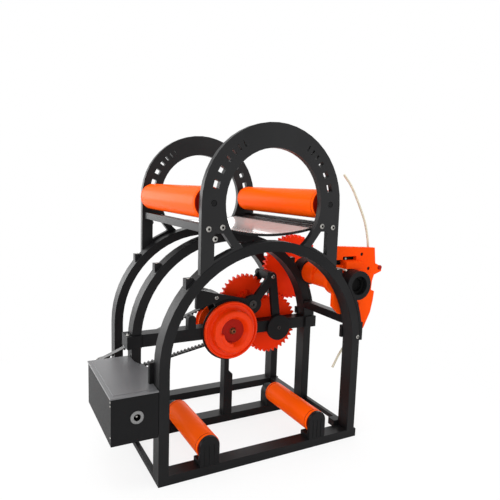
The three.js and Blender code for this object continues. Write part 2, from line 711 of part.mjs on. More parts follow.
const standoff = (place) => block(
  place.x - standoffWidth / 2, place.x + standoffWidth / 2, carrierBack, rearCarrierStation,
  place.z - standoffWidth / 2, place.z + standoffWidth / 2,
);
piece("left_standoff", standoff(leftPost), blackPlastic);
piece("top_standoff", standoff(topPost), blackPlastic);
piece("layshaft_cap", rod(layCapRadius, layPlace, middleStation - layCapThickness, middleStation, wheelSides), blackPlastic);
piece("first_gear_pin", rod(pinRadius, wheelPlace, middleStation, rearCarrierBack), bareSteel);
piece("layshaft_pin", rod(pinRadius, layPlace, crossbarBack, screwGearEnd + pinRadius / 2), bareSteel);

// Bearings
piece("front_bearing", tube(bearingRadius, axleBore, middleStation, crossbarBack, rollerSides, axlePlace), bareSteel);
piece("rear_bearing", tube(bearingRadius, axleBore, rearCarrierStation, rearCarrierBack, rollerSides, axlePlace), bareSteel);

// Hub, axle and what turns with them
const drive = axisGroup(axlePlace);
const boltFront = hubCupFloor - boltHeadHeight;
piece("hub_axle", join(
  rod(boltHeadRadius, here, boltFront, hubCupFloor + overrun),
  rod(axleRadius, here, hubCupFloor + seatGap, pulleyEnd + overrun),
), bareSteel, drive);
const hubTurned = turned([
  [axleBore, hubCupFloor], [hubCupRadius, hubCupFloor], [hubCupRadius, hubBossFront],
  [hubBossRadius - hubBossChamfer, hubBossFront], [hubBossRadius, hubBossFront + hubBossChamfer],
  [hubBossRadius, hubFloor], [hubRimRadius - hubRimWidth, hubFloor], [hubRimRadius - hubRimWidth, hubRimFront],
  [hubRimRadius, hubRimFront], [hubRimRadius, hubBack], [axleBore, hubBack], [axleBore, hubCupFloor],
], wheelSides);
const lugStart = hubCupRadius - hubLugReach;
const hubLugGeometry = new THREE.BoxGeometry(hubLugReach + overrun, hubCupFloor - hubBossFront, hubLugWidth);
hubLugGeometry.translate(lugStart + (hubLugReach + overrun) / 2, (hubCupFloor + hubBossFront) / 2, 0);
hubLugGeometry.rotateY(-turn(hubLugAngle));
piece("spool_hub", join(hubTurned, solid(hubLugGeometry)), orangePlastic, drive);
piece("backing_disc", tube(
  backDiscRadius, axleBore, hubBack + seatGap, hubBack + seatGap + backDiscThickness, wheelSides,
), blackPlastic, drive);

const drivePhase = 0;
piece("drive_pinion", cut(
  join(
    slab(gearShape(drivePinionTeeth, drivePhase), rearGearStation, rearGearStation + gearThickness),
    rod(axleRadius + pinRadius, here, frontGearStation, rearGearStation),
  ),
  rod(axleBore, here, frontGearStation - overrun, rearGearStation + gearThickness + overrun),
), orangePlastic, drive);
const pulleySolid = (radius, bore) => turned([
  [bore, pulleyStation], [radius + flangeRise, pulleyStation],
  [radius + flangeRise, pulleyStation + flangeThickness], [radius - seatGap, pulleyStation + flangeThickness],
  [radius - seatGap, pulleyEnd - flangeThickness], [radius + flangeRise, pulleyEnd - flangeThickness],
  [radius + flangeRise, pulleyEnd], [bore, pulleyEnd], [bore, pulleyStation],
], wheelSides);
piece("axle_pulley", pulleySolid(beltRadius, axleBore), orangePlastic, drive);

// Gears between the axle and the level-wind screw
const firstPhase = meshPhase(wheelTeeth, drivePinionTeeth, drivePhase, wheelAngle);
const firstPinionPhase = 0;
const layPhase = meshPhase(layWheelTeeth, wheelPinionTeeth, firstPinionPhase, layAngle);
const layPinionPhase = 0;
const idlerPhase = meshPhase(idlerTeeth, layPinionTeeth, layPinionPhase, idlerAngle);
const screwPhase = meshPhase(screwGearTeeth, idlerTeeth, idlerPhase, screwAngle);
piece("first_gear", cut(
  join(
    slab(gearShape(wheelPinionTeeth, firstPinionPhase), frontGearStation, rearGearStation),
    slab(gearShape(wheelTeeth, firstPhase), rearGearStation, rearGearStation + gearThickness),
    rod(laySleeveRadius, here, rearGearStation, rearCarrierStation - seatGap),
  ),
  rod(pinBore, here, frontGearStation - overrun, rearCarrierStation),
), orangePlastic, axisGroup(wheelPlace));
piece("layshaft_gear", cut(
  join(
    slab(gearShape(layWheelTeeth, layPhase), frontGearStation, frontGearStation + gearThickness),
    rod(laySleeveRadius, here, frontGearStation, screwGearStation),
    slab(gearShape(layPinionTeeth, layPinionPhase), screwGearStation, screwGearEnd),
  ),
  rod(pinBore, here, frontGearStation - overrun, screwGearEnd + overrun),
), orangePlastic, axisGroup(layPlace));
piece("idler_gear", cut(
  slab(gearShape(idlerTeeth, idlerPhase), screwGearStation, screwGearEnd),
  rod(pinBore, here, screwGearStation - overrun, screwGearEnd + overrun),
), orangePlastic, axisGroup(idlerPlace));

// Level-wind screw and its gear
const screwLine = axisGroup(screwPlace);
const screwStart = frameDepth + screwEndPlay;
const screwEnd = middleStation - screwEndPlay;
piece("level_wind_screw", turned([
  [0, journalSetback], [journalRadius, journalSetback], [journalRadius, screwStart], [screwRadius, screwStart],
  [screwRadius, screwEnd], [journalRadius, screwEnd], [journalRadius, screwGearStation],
  [screwShaftRadius, screwGearStation], [screwShaftRadius, screwGearEnd + screwEndPlay], [0, screwGearEnd + screwEndPlay],
], wheelSides), orangePlastic, screwLine);
piece("screw_gear", cut(
  slab(gearShape(screwGearTeeth, screwPhase), screwGearStation, screwGearEnd),
  rod(screwShaftRadius + seatGap, here, screwGearStation - overrun, screwGearEnd + overrun),
), orangePlastic, screwLine);

// Screw brackets: a bearing boss beside the arch and a strap down to a clamp round the leg
function screwBracket(start, clampBottom, inner) {
  const end = start + frameDepth;
  const outer = archRadius + legClampReach;
  const strapEnd = Math.atan2(screwPlace.z - archCentreHeight, screwPlace.x) * 180 / Math.PI;
  const strap = ringSector(archRadius, archRadius + strapThickness, 0, strapEnd, archPlace);
  const clampBack = end + legClampCheek;
  const body = join(
    rod(bossRadius, screwPlace, start, end, wheelSides),
    slab(strap, start, end),
    block(openingRadius - inner, outer, end + seatGap, clampBack, clampBottom, legCheekTop),
    block(archRadius, outer, start, clampBack, clampBottom, legClampTop),
  );
  return cut(
    body,
    rod(archRadius + seatGap, archPlace, start - overrun, end + seatGap, archSides),
    rod(journalRadius + seatGap, screwPlace, start - overrun, end + overrun, rollerSides),
    block(archRadius - overrun, outer + overrun, start - overrun, end + overrun, 0, clampBottom),
    block(0, lugOffset + lugWidth / 2 + seatGap, start - overrun, end + overrun, archCentreHeight, lugTop + overrun),
  );
}
piece("front_screw_bracket", screwBracket(0, legClampBottom, legClampInner), blackPlastic);
piece("middle_screw_bracket", screwBracket(
  middleStation, crossbarTop + seatGap, legClampInner,
), blackPlastic);

// Carriage: a flat guide plate with a sleeve round the screw and a guide block in front
function carriageSolid() {
  const plateEnd = carriageStation + carriagePlate;
  const sleeveEnd = plateEnd + carriageSleeve;
  const sleeveBore = screwRadius + 2 * seatGap;
  const place = ([acrossShare, upShare]) => ({
    x: screwPlace.x - carriageLeft + acrossShare * carriageWidth,
    z: screwPlace.z - carriageDrop + upShare * carriageHeight,
  });
  const plate = slab(
    outline(carriageOutlineShares.map(place).map(({ x, z }) => [x, z])), carriageStation, plateEnd,
  );
  const sleeve = tube(sleeveBore + sleeveWall, sleeveBore, plateEnd - overrun, sleeveEnd, wheelSides, screwPlace);
  const blockLeft = screwPlace.x + guideBlockOffset;
  const blockBottom = screwPlace.z + bossRadius + seatGap;
  const blockTop = blockBottom + guideBlockHeight;
  const slotLeft = screwPlace.x + guideSlotOffset;
  const slotBottom = blockTop + guideSlotRise;
  const railHalf = frameBand / 2 + seatGap;
  const toolStart = carriageStation - overrun;
  const toolEnd = plateEnd + overrun;
  return cut(
    join(
      plate, sleeve,
      block(blockLeft, blockLeft + guideBlockWidth, carriageStation - blockDepth, plateEnd, blockBottom, blockTop),
    ),
    rod(sleeveBore, screwPlace, toolStart, toolEnd, wheelSides),
    block(slotLeft, slotLeft + guideSlotWidth, toolStart, toolEnd, slotBottom, slotBottom + guideSlotHeight),
    block(
      blockLeft - guideNotchWidth, blockLeft, toolStart, toolEnd, blockTop - guideNotchHeight, slotBottom + overrun,
    ),
    block(
      railMiddle - railHalf, railMiddle + railHalf, toolStart, toolEnd,
      carriageRailTop - carriageRailHeight - seatGap, carriageRailTop + seatGap,
    ),
    ...carriageHoleShares.map((shares) => rod(carriageHoleRadius, place(shares), toolStart, toolEnd)),
  );
}
piece("carriage", carriageSolid(), orangePlastic);

// Belt round the two pulleys
const motorPlace = { x: -openingRadius - frameBand - seatGap - boxWidth / 2, z: motorHeight };
function loopShape(big, bigRadius, small, smallRadius) {
  const direction = Math.atan2(small.z - big.z, small.x - big.x);
  const distance = Math.hypot(small.x - big.x, small.z - big.z);
  const spread = Math.acos((bigRadius - smallRadius) / distance);
  const shape = new THREE.Shape();
  shape.absarc(big.x, big.z, bigRadius, direction + spread, direction - spread + 2 * Math.PI, false);
  shape.absarc(small.x, small.z, smallRadius, direction - spread, direction + spread, false);
  return shape;
}
const beltOutside = loopShape(axlePlace, beltRadius + beltThickness, motorPlace, motorBeltRadius + beltThickness);
const beltInside = loopShape(axlePlace, beltRadius, motorPlace, motorBeltRadius);
piece("drive_belt", cut(
  slab(beltOutside, beltStation, beltEnd, wheelSides / 4),
  slab(beltInside, beltStation - overrun, beltEnd + overrun, wheelSides / 4),
), blackRubber);

// Motor box beside the left legs, with lid, jack and motor
const boxInner = -archRadius - seatGap;
const boxOuter = boxInner - boxWidth;
const motorBack = boxLength - boxWall - seatGap;
const motorFront = motorBack - motorLength;
const jackPlace = { x: motorPlace.x + jackOffset, z: motorHeight };
const shaftHole = motorSize / 4;
piece("motor_box", cut(
  block(boxOuter, boxInner, 0, boxLength, boxBottom, boxTop),
  block(boxOuter + boxWall, boxInner - boxWall, boxWall, boxLength - boxWall, boxBottom + boxWall, boxTop + overrun),
  rod(jackBody + seatGap, jackPlace, -overrun, boxWall + overrun),
  rod(shaftHole, motorPlace, boxLength - boxWall - overrun, boxLength + overrun, rollerSides),
), blackPlastic);
const lidEarStart = frameDepth + seatGap;
const lidEarShape = new THREE.Shape([
  [boxInner - overrun, lidEarStart], [boxInner + lidEarWidth, lidEarStart],
  [boxInner + lidEarWidth, lidEarStart + lidEarLength], [boxInner - overrun, lidEarStart + lidEarFoot],
].map(([x, y]) => new THREE.Vector2(x, y)));
const lidEarGeometry = new THREE.ExtrudeGeometry(lidEarShape, { depth: lidThickness, bevelEnabled: false });
lidEarGeometry.translate(0, 0, boxTop);
piece("motor_box_lid", join(
  block(boxOuter - lidOverhang, boxInner, -lidOverhang, boxLength + lidOverhang, boxTop, boxTop + lidThickness),
  solid(lidEarGeometry),
), blackPlastic);
piece("motor_box_bracket", block(
  boxInner - boxBracketReach, -openingRadius, lidEarStart, lidEarStart + boxBracketThickness,
  boxTop + lidThickness, boxTop + lidThickness + boxBracketHeight,
), blackPlastic);
piece("power_jack", turned([
  [0, jackDepth - jackLip], [jackBore, jackDepth - jackLip], [jackBore, -jackLip], [jackRadius, -jackLip],
  [jackRadius, 0], [jackBody, 0], [jackBody, jackDepth], [0, jackDepth],
], smallSides, jackPlace), blackPlastic);
const motorHalf = motorSize / 2;
const motorCut = motorHalf - motorCorner;
const motorOutline = [
  [-motorHalf, -motorCut], [-motorCut, -motorHalf], [motorCut, -motorHalf], [motorHalf, -motorCut],
  [motorHalf, motorCut], [motorCut, motorHalf], [-motorCut, motorHalf], [-motorHalf, motorCut],
].map(([x, z]) => [motorPlace.x + x, motorPlace.z + z]);
piece("motor", cut(
  slab(outline(motorOutline), motorFront, motorBack),
  rod(motorShaftRadius + seatGap, motorPlace, motorBack - motorShaftDepth, motorBack + overrun),
), bareSteel);
const motorLine = axisGroup(motorPlace);
piece("motor_shaft", rod(
  motorShaftRadius, here, motorBack - motorShaftDepth + seatGap, pulleyEnd + overrun,
), bareSteel, motorLine);
piece("motor_pulley", pulleySolid(motorBeltRadius, motorShaftRadius + seatGap), bareSteel, motorLine);

// Filament strand through the guide
const strandPath = new THREE.CatmullRomCurve3(strandPoints.map(([x, y, z]) => new THREE.Vector3(x, y, z)));
const strandSection = new THREE.Shape();
strandSection.absarc(0, 0, filamentRadius, 0, 2 * Math.PI, false);
piece("filament", solid(new THREE.ExtrudeGeometry(strandSection, {
  steps: strandSteps, extrudePath: strandPath, curveSegments: strandSides / 2, bevelEnabled: false,
})), paleFilament);

export default rewinder;
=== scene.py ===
import json
import math

import bmesh
import bpy
from mathutils import Matrix, Vector

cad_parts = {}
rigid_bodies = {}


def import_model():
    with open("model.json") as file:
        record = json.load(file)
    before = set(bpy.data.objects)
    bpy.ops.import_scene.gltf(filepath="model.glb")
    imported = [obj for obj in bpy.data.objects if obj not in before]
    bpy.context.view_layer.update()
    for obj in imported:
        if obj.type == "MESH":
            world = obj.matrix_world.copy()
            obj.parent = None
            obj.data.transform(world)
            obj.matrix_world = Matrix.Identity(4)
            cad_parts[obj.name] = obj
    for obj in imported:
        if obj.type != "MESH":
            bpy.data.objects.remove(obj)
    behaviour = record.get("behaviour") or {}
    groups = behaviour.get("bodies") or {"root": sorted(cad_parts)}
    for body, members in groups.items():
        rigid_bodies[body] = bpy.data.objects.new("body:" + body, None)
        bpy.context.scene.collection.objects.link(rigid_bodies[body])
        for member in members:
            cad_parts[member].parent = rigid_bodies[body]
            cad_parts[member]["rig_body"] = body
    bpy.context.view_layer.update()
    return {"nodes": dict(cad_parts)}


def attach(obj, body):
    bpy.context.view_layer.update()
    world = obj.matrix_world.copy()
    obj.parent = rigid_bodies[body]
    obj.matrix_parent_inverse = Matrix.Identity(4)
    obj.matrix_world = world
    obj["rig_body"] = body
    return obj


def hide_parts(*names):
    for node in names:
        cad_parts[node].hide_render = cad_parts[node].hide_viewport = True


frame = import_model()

# Millimetres as in the part's source; stations are counted from the front frame's front face along Y
MM = 0.001
FRONT_FACE = -109.5
FRAME_DEPTH = 18
MIDDLE_FRAME = 100.5
BACK_FRAME = 184
REAR_FACE = BACK_FRAME + FRAME_DEPTH

# Axes along Y and other places, as (x, z)
AXLE = (0, 123)
MOTOR = (-148.55, 79.5)
JACK = (-146.8, 79.5)
SCREW = (120.253, 190.203)
FIRST_GEAR = (32.271, 152.262)
LAYSHAFT = (70.468, 118.468)
LEFT_POST = (-19.4, 164.9)
TOP_POST = (61, 186.8)
UPPER_ROLLER = (71, 285.5)
LOWER_ROLLER = (69, 28.7)
SIDES = ((-1, "left"), (1, "right"))


def at(x, station, z):
    return Vector((x * MM, (station + FRONT_FACE) * MM, z * MM))


# Camera
CAMERA_AZIMUTH = math.radians(-28.513)
CAMERA_ELEVATION = math.radians(7.334)
CAMERA_ROLL = math.radians(1.871)
CAMERA_PLACE = at(-272.58, -447.91, 303.54)
CAMERA_LENS = 35.84
SENSOR_WIDTH = 36
CLIP_NEAR = 0.02
CLIP_FAR = 50


def make_camera():
    back = Vector((
        math.sin(CAMERA_AZIMUTH) * math.cos(CAMERA_ELEVATION),
        -math.cos(CAMERA_AZIMUTH) * math.cos(CAMERA_ELEVATION),
        math.sin(CAMERA_ELEVATION),
    ))
    level = Vector((math.cos(CAMERA_AZIMUTH), math.sin(CAMERA_AZIMUTH), 0))
    upright = back.cross(level)
    right = math.cos(CAMERA_ROLL) * level + math.sin(CAMERA_ROLL) * upright
    up = -math.sin(CAMERA_ROLL) * level + math.cos(CAMERA_ROLL) * upright
    data = bpy.data.cameras.new("studio_camera")
    data.lens = CAMERA_LENS
    data.sensor_width = SENSOR_WIDTH
    data.clip_start = CLIP_NEAR
    data.clip_end = CLIP_FAR
    camera = bpy.data.objects.new("studio_camera", data)
    bpy.context.scene.collection.objects.link(camera)
    turn = Matrix((right, up, back)).transposed().to_4x4()
    camera.matrix_world = Matrix.Translation(CAMERA_PLACE) @ turn
    bpy.context.scene.camera = camera


make_camera()

# Materials: patches of two near colours, a fine grain in gloss and relief, and fine lines on printed parts
PATCH_DETAIL = 4
PATCH_SPREAD = (0.3, 0.7)
GRAIN_DETAIL = 2
LEAST_ROUGHNESS = 0.02
COAT_ROUGHNESS = 0.04
WAVE_PERIOD = math.pi / 10  # of Blender's wave texture at scale 1


def linear(red, green, blue):
    """Colour written in display values from 0 to 255."""
    def channel(value):
        value /= 255
        return value / 12.92 if value <= 0.04045 else ((value + 0.055) / 1.055) ** 2.4
    return (channel(red), channel(green), channel(blue), 1)


def finish(name, colour, shade, roughness, metallic=0.0, specular=0.5, coat=0.0, patch=22, grain=900,
           relief=0.25, relief_depth=0.05, roughness_span=0.1, lines=None, line_relief=0.2, streak=(1, 1, 1)):
    material = bpy.data.materials.new(name)
    material.use_nodes = True
    nodes, links = material.node_tree.nodes, material.node_tree.links
    shader = nodes["Principled BSDF"]
    shader.inputs["Metallic"].default_value = metallic
    shader.inputs["Specular IOR Level"].default_value = specular
    shader.inputs["Coat Weight"].default_value = coat
    shader.inputs["Coat Roughness"].default_value = COAT_ROUGHNESS
    place = nodes.new("ShaderNodeTexCoord")
    stretch = nodes.new("ShaderNodeMapping")
    stretch.inputs["Scale"].default_value = streak
    links.new(place.outputs["Object"], stretch.inputs["Vector"])

    def noise(scale, detail):
        texture = nodes.new("ShaderNodeTexNoise")
        texture.inputs["Scale"].default_value = scale
        texture.inputs["Detail"].default_value = detail
        links.new(stretch.outputs["Vector"], texture.inputs["Vector"])
        return texture.outputs["Fac"]

    clouds = noise(patch, PATCH_DETAIL)
    mix = nodes.new("ShaderNodeMix")
    mix.data_type = "RGBA"
    mix.inputs["A"].default_value = colour
    mix.inputs["B"].default_value = shade
    spread = nodes.new("ShaderNodeMapRange")
    spread.inputs["From Min"].default_value, spread.inputs["From Max"].default_value = PATCH_SPREAD
    links.new(clouds, spread.inputs["Value"])
    links.new(spread.outputs["Result"], mix.inputs["Factor"])
    links.new(mix.outputs["Result"], shader.inputs["Base Color"])
    fine = noise(grain, GRAIN_DETAIL)
    gloss = nodes.new("ShaderNodeMapRange")
    gloss.inputs["To Min"].default_value = max(LEAST_ROUGHNESS, roughness - roughness_span)
    gloss.inputs["To Max"].default_value = min(1, roughness + roughness_span)
    links.new(fine, gloss.inputs["Value"])
    links.new(gloss.outputs["Result"], shader.inputs["Roughness"])
    bump = nodes.new("ShaderNodeBump")
    bump.inputs["Strength"].default_value = relief
    bump.inputs["Distance"].default_value = relief_depth * MM
    links.new(fine, bump.inputs["Height"])
    if lines:
        direction, period = lines
        waves = nodes.new("ShaderNodeTexWave")
        waves.bands_direction = direction
        waves.inputs["Scale"].default_value = WAVE_PERIOD / (period * MM)
        links.new(place.outputs["Object"], waves.inputs["Vector"])
        second = nodes.new("ShaderNodeBump")
        second.inputs["Strength"].default_value = line_relief
        second.inputs["Distance"].default_value = relief_depth * MM
        links.new(waves.outputs["Fac"], second.inputs["Height"])
        links.new(bump.outputs["Normal"], second.inputs["Normal"])
        bump = second
    links.new(bump.outputs["Normal"], shader.inputs["Normal"])
    return material


# Black finishes
black_paint = finish(
    "black_paint", linear(18, 18, 19), linear(24, 24, 25), roughness=0.4, specular=0.12, grain=1400)
ring_paint = finish(
    "ring_paint", linear(22, 22, 23), linear(29, 29, 30), roughness=0.4, specular=0.2, grain=1400)
black_moulding = finish(
    "black_moulding", linear(17, 17, 18), linear(24, 24, 25), roughness=0.42, specular=0.1, grain=1100)
# Near-black painted shade for screw sockets, bores, plate holes and the carriage slot
painted_shade_black = finish(
    "painted_shade_black", linear(10, 10, 10), linear(15, 15, 15), roughness=0.6, specular=0.1)
box_black = finish(
    "box_black", linear(16, 16, 17), linear(22, 22, 23), roughness=0.5, specular=0.08, patch=10)
belt_rubber = finish(
    "belt_rubber", linear(24, 24, 24), linear(34, 34, 34), roughness=0.7, specular=0.1, grain=1800,
    relief=0.4)

# Orange and red finishes
orange_plastic = finish(
    "orange_plastic", linear(244, 76, 5), linear(236, 66, 4), roughness=0.4, specular=0.03, patch=14,
    grain=700, lines=("Y", 0.6), line_relief=0.12)
hub_orange = finish(
    "hub_orange", linear(240, 60, 8), linear(234, 56, 6), roughness=0.3, specular=0.14, patch=14, grain=700)
gear_red = finish(
    "gear_red", linear(242, 54, 7), linear(234, 46, 6), roughness=0.42, specular=0.05, patch=14, grain=700)
roller_orange = finish(
    "roller_orange", linear(255, 94, 8), linear(252, 86, 6), roughness=0.32, specular=0.02, patch=12,
    grain=800, streak=(1, 0.15, 1), lines=("Y", 0.5), line_relief=0.08)
# Dark red painted shade for the hub's cup floor, the rollers' grooves, front ends and recessed end discs; the
# ear knob is coloured with it too
painted_shade_red = finish("painted_shade_red", linear(166, 24, 8), linear(142, 18, 6), roughness=0.5, specular=0.1)

# Metals
steel = finish(
    "steel", linear(168, 166, 162), linear(140, 138, 134), roughness=0.28, metallic=1.0, grain=1500,
    streak=(1, 0.1, 1))
dark_steel = finish("dark_steel", linear(70, 68, 67), linear(52, 51, 50), roughness=0.4, metallic=1.0)
brown_bolt = finish("brown_bolt", linear(128, 78, 50), linear(98, 58, 38), roughness=0.35, metallic=0.8)
jack_ring = finish("jack_ring", linear(132, 132, 132), linear(108, 108, 108), roughness=0.4, metallic=0.4)

# Grey and pale finishes
# Mid grey standing for the sheen of bright surroundings on the black lid: painted reflection
lid_painted_sheen_grey = finish(
    "lid_painted_sheen_grey", linear(92, 92, 94), linear(82, 82, 84), roughness=0.34, specular=0.7, patch=9, grain=1600)
# Pale gloss for the tray's upward faces, with black paint on the rest: painted light on the top and painted
# shade below
tray_top_painted_light = finish(
    "tray_top_painted_light", linear(222, 218, 216), linear(210, 206, 204), roughness=0.14, specular=0.6, coat=0.3,
    roughness_span=0.04, relief=0.05)
# Grey painted sheen for the belt's upward faces
belt_top_painted_sheen = finish(
    "belt_top_painted_sheen", linear(120, 120, 120), linear(100, 100, 100), roughness=0.55, specular=0.4, grain=1800)
strand_finish = finish(
    "strand_finish", linear(214, 206, 184), linear(200, 192, 168), roughness=0.4, patch=40, grain=500)
rod_white = finish("rod_white", linear(206, 196, 182), linear(188, 178, 164), roughness=0.4, specular=0.3)

# Shapes: each helper adds one solid to a bmesh
ALONG_Y = Matrix.Rotation(math.radians(-90), 4, "X")
SPUN_MERGE = 0.0005
OVERLAP = 0.1
SKIN = 0.05


def bar(shape, x, stations, z):
    """Block between two values along each axis."""
    low, high = at(x[0], stations[0], z[0]), at(x[1], stations[1], z[1])
    size = high - low
    place = Matrix.Translation((low + high) / 2) @ Matrix.Diagonal((*size, 1))
    bmesh.ops.create_cube(shape, size=1, matrix=place)


def rod(shape, radius, place, start, end, sides=48, far_radius=None):
    """Round bar along Y, tapered where its far radius differs."""
    far = radius if far_radius is None else far_radius
    middle = at(place[0], (start + end) / 2, place[1])
    bmesh.ops.create_cone(
        shape, cap_ends=True, segments=sides, radius1=radius * MM, radius2=far * MM, depth=(end - start) * MM,
        matrix=Matrix.Translation(middle) @ ALONG_Y)


def spun(shape, profile, place, steps=64, closed=True):
    """Body of revolution about a Y axis from [radius, station] points."""
    points = [shape.verts.new(at(place[0] + radius, station, place[1])) for radius, station in profile]
    ends = zip(points, points[1:] + points[:1]) if closed else zip(points, points[1:])
    edges = [shape.edges.new(pair) for pair in ends]
    bmesh.ops.spin(
        shape, geom=points + edges, cent=at(place[0], 0, place[1]), axis=(0, 1, 0), angle=2 * math.pi,
        steps=steps, use_merge=True)
    bmesh.ops.remove_doubles(shape, verts=shape.verts, dist=SPUN_MERGE * MM)


def deepen(shape, faces, depth):
    """Faces drawn out along Y."""
    grown = bmesh.ops.extrude_face_region(shape, geom=faces)
    moved = [part for part in grown["geom"] if isinstance(part, bmesh.types.BMVert)]
    bmesh.ops.translate(shape, verts=moved, vec=Vector((0, depth * MM, 0)))


def plate(shape, outline, start, end):
    """Outline of [x, z] points with its thickness along Y."""
    face = shape.faces.new([shape.verts.new(at(x, start, z)) for x, z in outline])
    deepen(shape, [face], end - start)


def arc(place, radius, angles):
    """Points [x, z] of a circle at the given angles."""
    return [(place[0] + radius * math.cos(angle), place[1] + radius * math.sin(angle)) for angle in angles]


def from_axis(face, place):
    """How far a face's middle lies from a Y axis, in metres."""
    middle = face.calc_center_median()
    centre = at(place[0], 0, place[1])
    return math.hypot(middle.x - centre.x, middle.z - centre.z)


# Pieces: a mesh with its finish, body and slot; a choose function gives each face its finish's number
SHARP_ANGLE = math.radians(34)
FLAT_ANGLE = math.radians(0.6)
CAD_MERGE = 0.001
FACING = 0.5


def upward(face):
    return 1 if face.normal.z > FACING else 0


def lengthwise(face):
    return 1 if abs(face.normal.y) > FACING else 0


def piece(name, shape, finishes, body, bevel=0.0, segments=2, choose=None):
    bmesh.ops.recalc_face_normals(shape, faces=shape.faces)
    if choose:
        for face in shape.faces:
            face.material_index = choose(face)
    mesh = bpy.data.meshes.new(name)
    shape.to_mesh(mesh)
    shape.free()
    for material in finishes if isinstance(finishes, list) else [finishes]:
        mesh.materials.append(material)
    mesh.shade_smooth()
    mesh.set_sharp_from_angle(angle=SHARP_ANGLE)
    made = bpy.data.objects.new(name, mesh)
    bpy.context.scene.collection.objects.link(made)
    if bevel:
        soften(made, bevel, segments)
    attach(made, body)
    return made


def soften(made, width, segments):
    edge = made.modifiers.new("rounded_edges", "BEVEL")
    edge.width = width * MM
    edge.segments = segments
    edge.limit_method = "ANGLE"
    edge.angle_limit = SHARP_ANGLE
    edge.use_clamp_overlap = True
    edge.harden_normals = True


def dressed(node, finishes, bevel, choose=None):
    """Copy of a CAD node with clean faces, rounded edges and a finish; it stands for the node."""
    source = frame["nodes"][node]
    shape = bmesh.new()
    shape.from_mesh(source.data)
    bmesh.ops.remove_doubles(shape, verts=shape.verts, dist=CAD_MERGE * MM)
    bmesh.ops.dissolve_limit(
        shape, angle_limit=FLAT_ANGLE, verts=shape.verts, edges=shape.edges, use_dissolve_boundaries=False)
    made = piece(node + "_dressed", shape, finishes, source["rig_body"], bevel, choose=choose)
    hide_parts(node)


# Edge roundings of the dressed nodes
FRAME_EDGE = 0.7
RAIL_EDGE = 0.5
MOULDED_EDGE = 0.5
THIN_EDGE = 0.3
SHEET_EDGE = 0.2
CARRIAGE_EDGE = 0.8
BOLT_EDGE = 0.4
SMALL_GEAR_EDGE = 0.2
LARGE_GEAR_EDGE = 0.25

# Frames, ring plates and rails of painted metal
for node in ("front_frame", "middle_frame", "back_frame"):
    dressed(node, black_paint, FRAME_EDGE)
for node in ("front_ring_plate", "back_ring_plate"):
    dressed(node, ring_paint, FRAME_EDGE)
for node in (
    "left_front_rail", "left_back_rail", "right_front_rail", "right_back_rail", "carriage_rail",
    "left_cradle_beam", "right_cradle_beam", "post",
):
    dressed(node, black_paint, RAIL_EDGE)

# Cradle tray: pale gloss on upward faces as painted light, black paint below as painted shade, with a dark
# strip along its front and back end
TRAY_HALF = 51.5
TRAY_RADIUS = 225.74
TRAY_CENTRE = 477.74
LIP_ABOVE = 1.5
LIP_BELOW = 1.3
LIP_DEPTH = 1.8
FRONT_LIP = 7.4
BACK_LIP = REAR_FACE - 2.2
LIP_STEPS = 24


def tray_lip(name, start):
    half = math.asin(TRAY_HALF / TRAY_RADIUS)
    angles = [half * (2 * step / LIP_STEPS - 1) - math.pi / 2 for step in range(LIP_STEPS + 1)]
    outline = arc((0, TRAY_CENTRE), TRAY_RADIUS + LIP_BELOW, angles)
    outline += arc((0, TRAY_CENTRE), TRAY_RADIUS - LIP_ABOVE, reversed(angles))
    lip = bmesh.new()
    plate(lip, outline, start, start + LIP_DEPTH)
    piece(name, lip, black_moulding, "frame", THIN_EDGE)


dressed("cradle_tray", [black_paint, tray_top_painted_light], SHEET_EDGE, choose=upward)
tray_lip("tray_front_lip", FRONT_LIP)
tray_lip("tray_back_lip", BACK_LIP)

# Black mouldings
for node in (
    "left_back_roller_bracket", "right_back_roller_bracket", "crossbar",
    "left_crossbar_clamp", "right_crossbar_clamp", "gear_carrier_front", "gear_carrier_rear",
    "left_standoff", "top_standoff", "layshaft_cap", "front_screw_bracket", "middle_screw_bracket",
    "motor_box_bracket", "backing_disc",
):
    dressed(node, black_moulding, MOULDED_EDGE)
dressed("motor_box", box_black, MOULDED_EDGE)
# The lid's grey is painted reflection over black plastic
dressed("motor_box_lid", lid_painted_sheen_grey, THIN_EDGE)

# Steel
for node in (
    "left_lower_axle", "right_lower_axle", "first_gear_pin", "layshaft_pin", "front_bearing", "rear_bearing",
    "motor", "motor_shaft", "motor_pulley",
):
    dressed(node, steel, THIN_EDGE)
for node in ("left_upper_axle", "right_upper_axle"):
    dressed(node, [steel, black_moulding], THIN_EDGE, choose=lengthwise)
dressed("hub_axle", brown_bolt, BOLT_EDGE)

# Orange mouldings
for node, width in (
    ("drive_pinion", SMALL_GEAR_EDGE), ("first_gear", LARGE_GEAR_EDGE), ("layshaft_gear", LARGE_GEAR_EDGE),
    ("idler_gear", SMALL_GEAR_EDGE), ("screw_gear", LARGE_GEAR_EDGE),
):
    dressed(node, gear_red, width)
dressed("axle_pulley", orange_plastic, THIN_EDGE)
dressed("carriage", orange_plastic, CARRIAGE_EDGE)

# Hub: a rim, the boss that enters the spool, and a cup with its lug, the cup floor darkened with painted
# shade; radii and stations
HUB_RIM = 36.6
HUB_RIM_INNER = 33.8
HUB_BOSS = 27.3
HUB_CUP = 18.9
HUB_CUP_FLOOR = 15.2
HUB_BORE = 4.3
HUB_LUG = 14.8
HUB_BOSS_FRONT = 84.5
HUB_FLOOR = 92
HUB_RIM_FRONT = 93.5
HUB_GROOVE = 96
HUB_BACK = 98.5
HUB_STEPS = 96
LUG_ANGLES = (186, 264)
LUG_STEPS = 20
HUB_EDGE = 0.4
LUG_EDGE = 0.5
HUB_SEGMENTS = 3


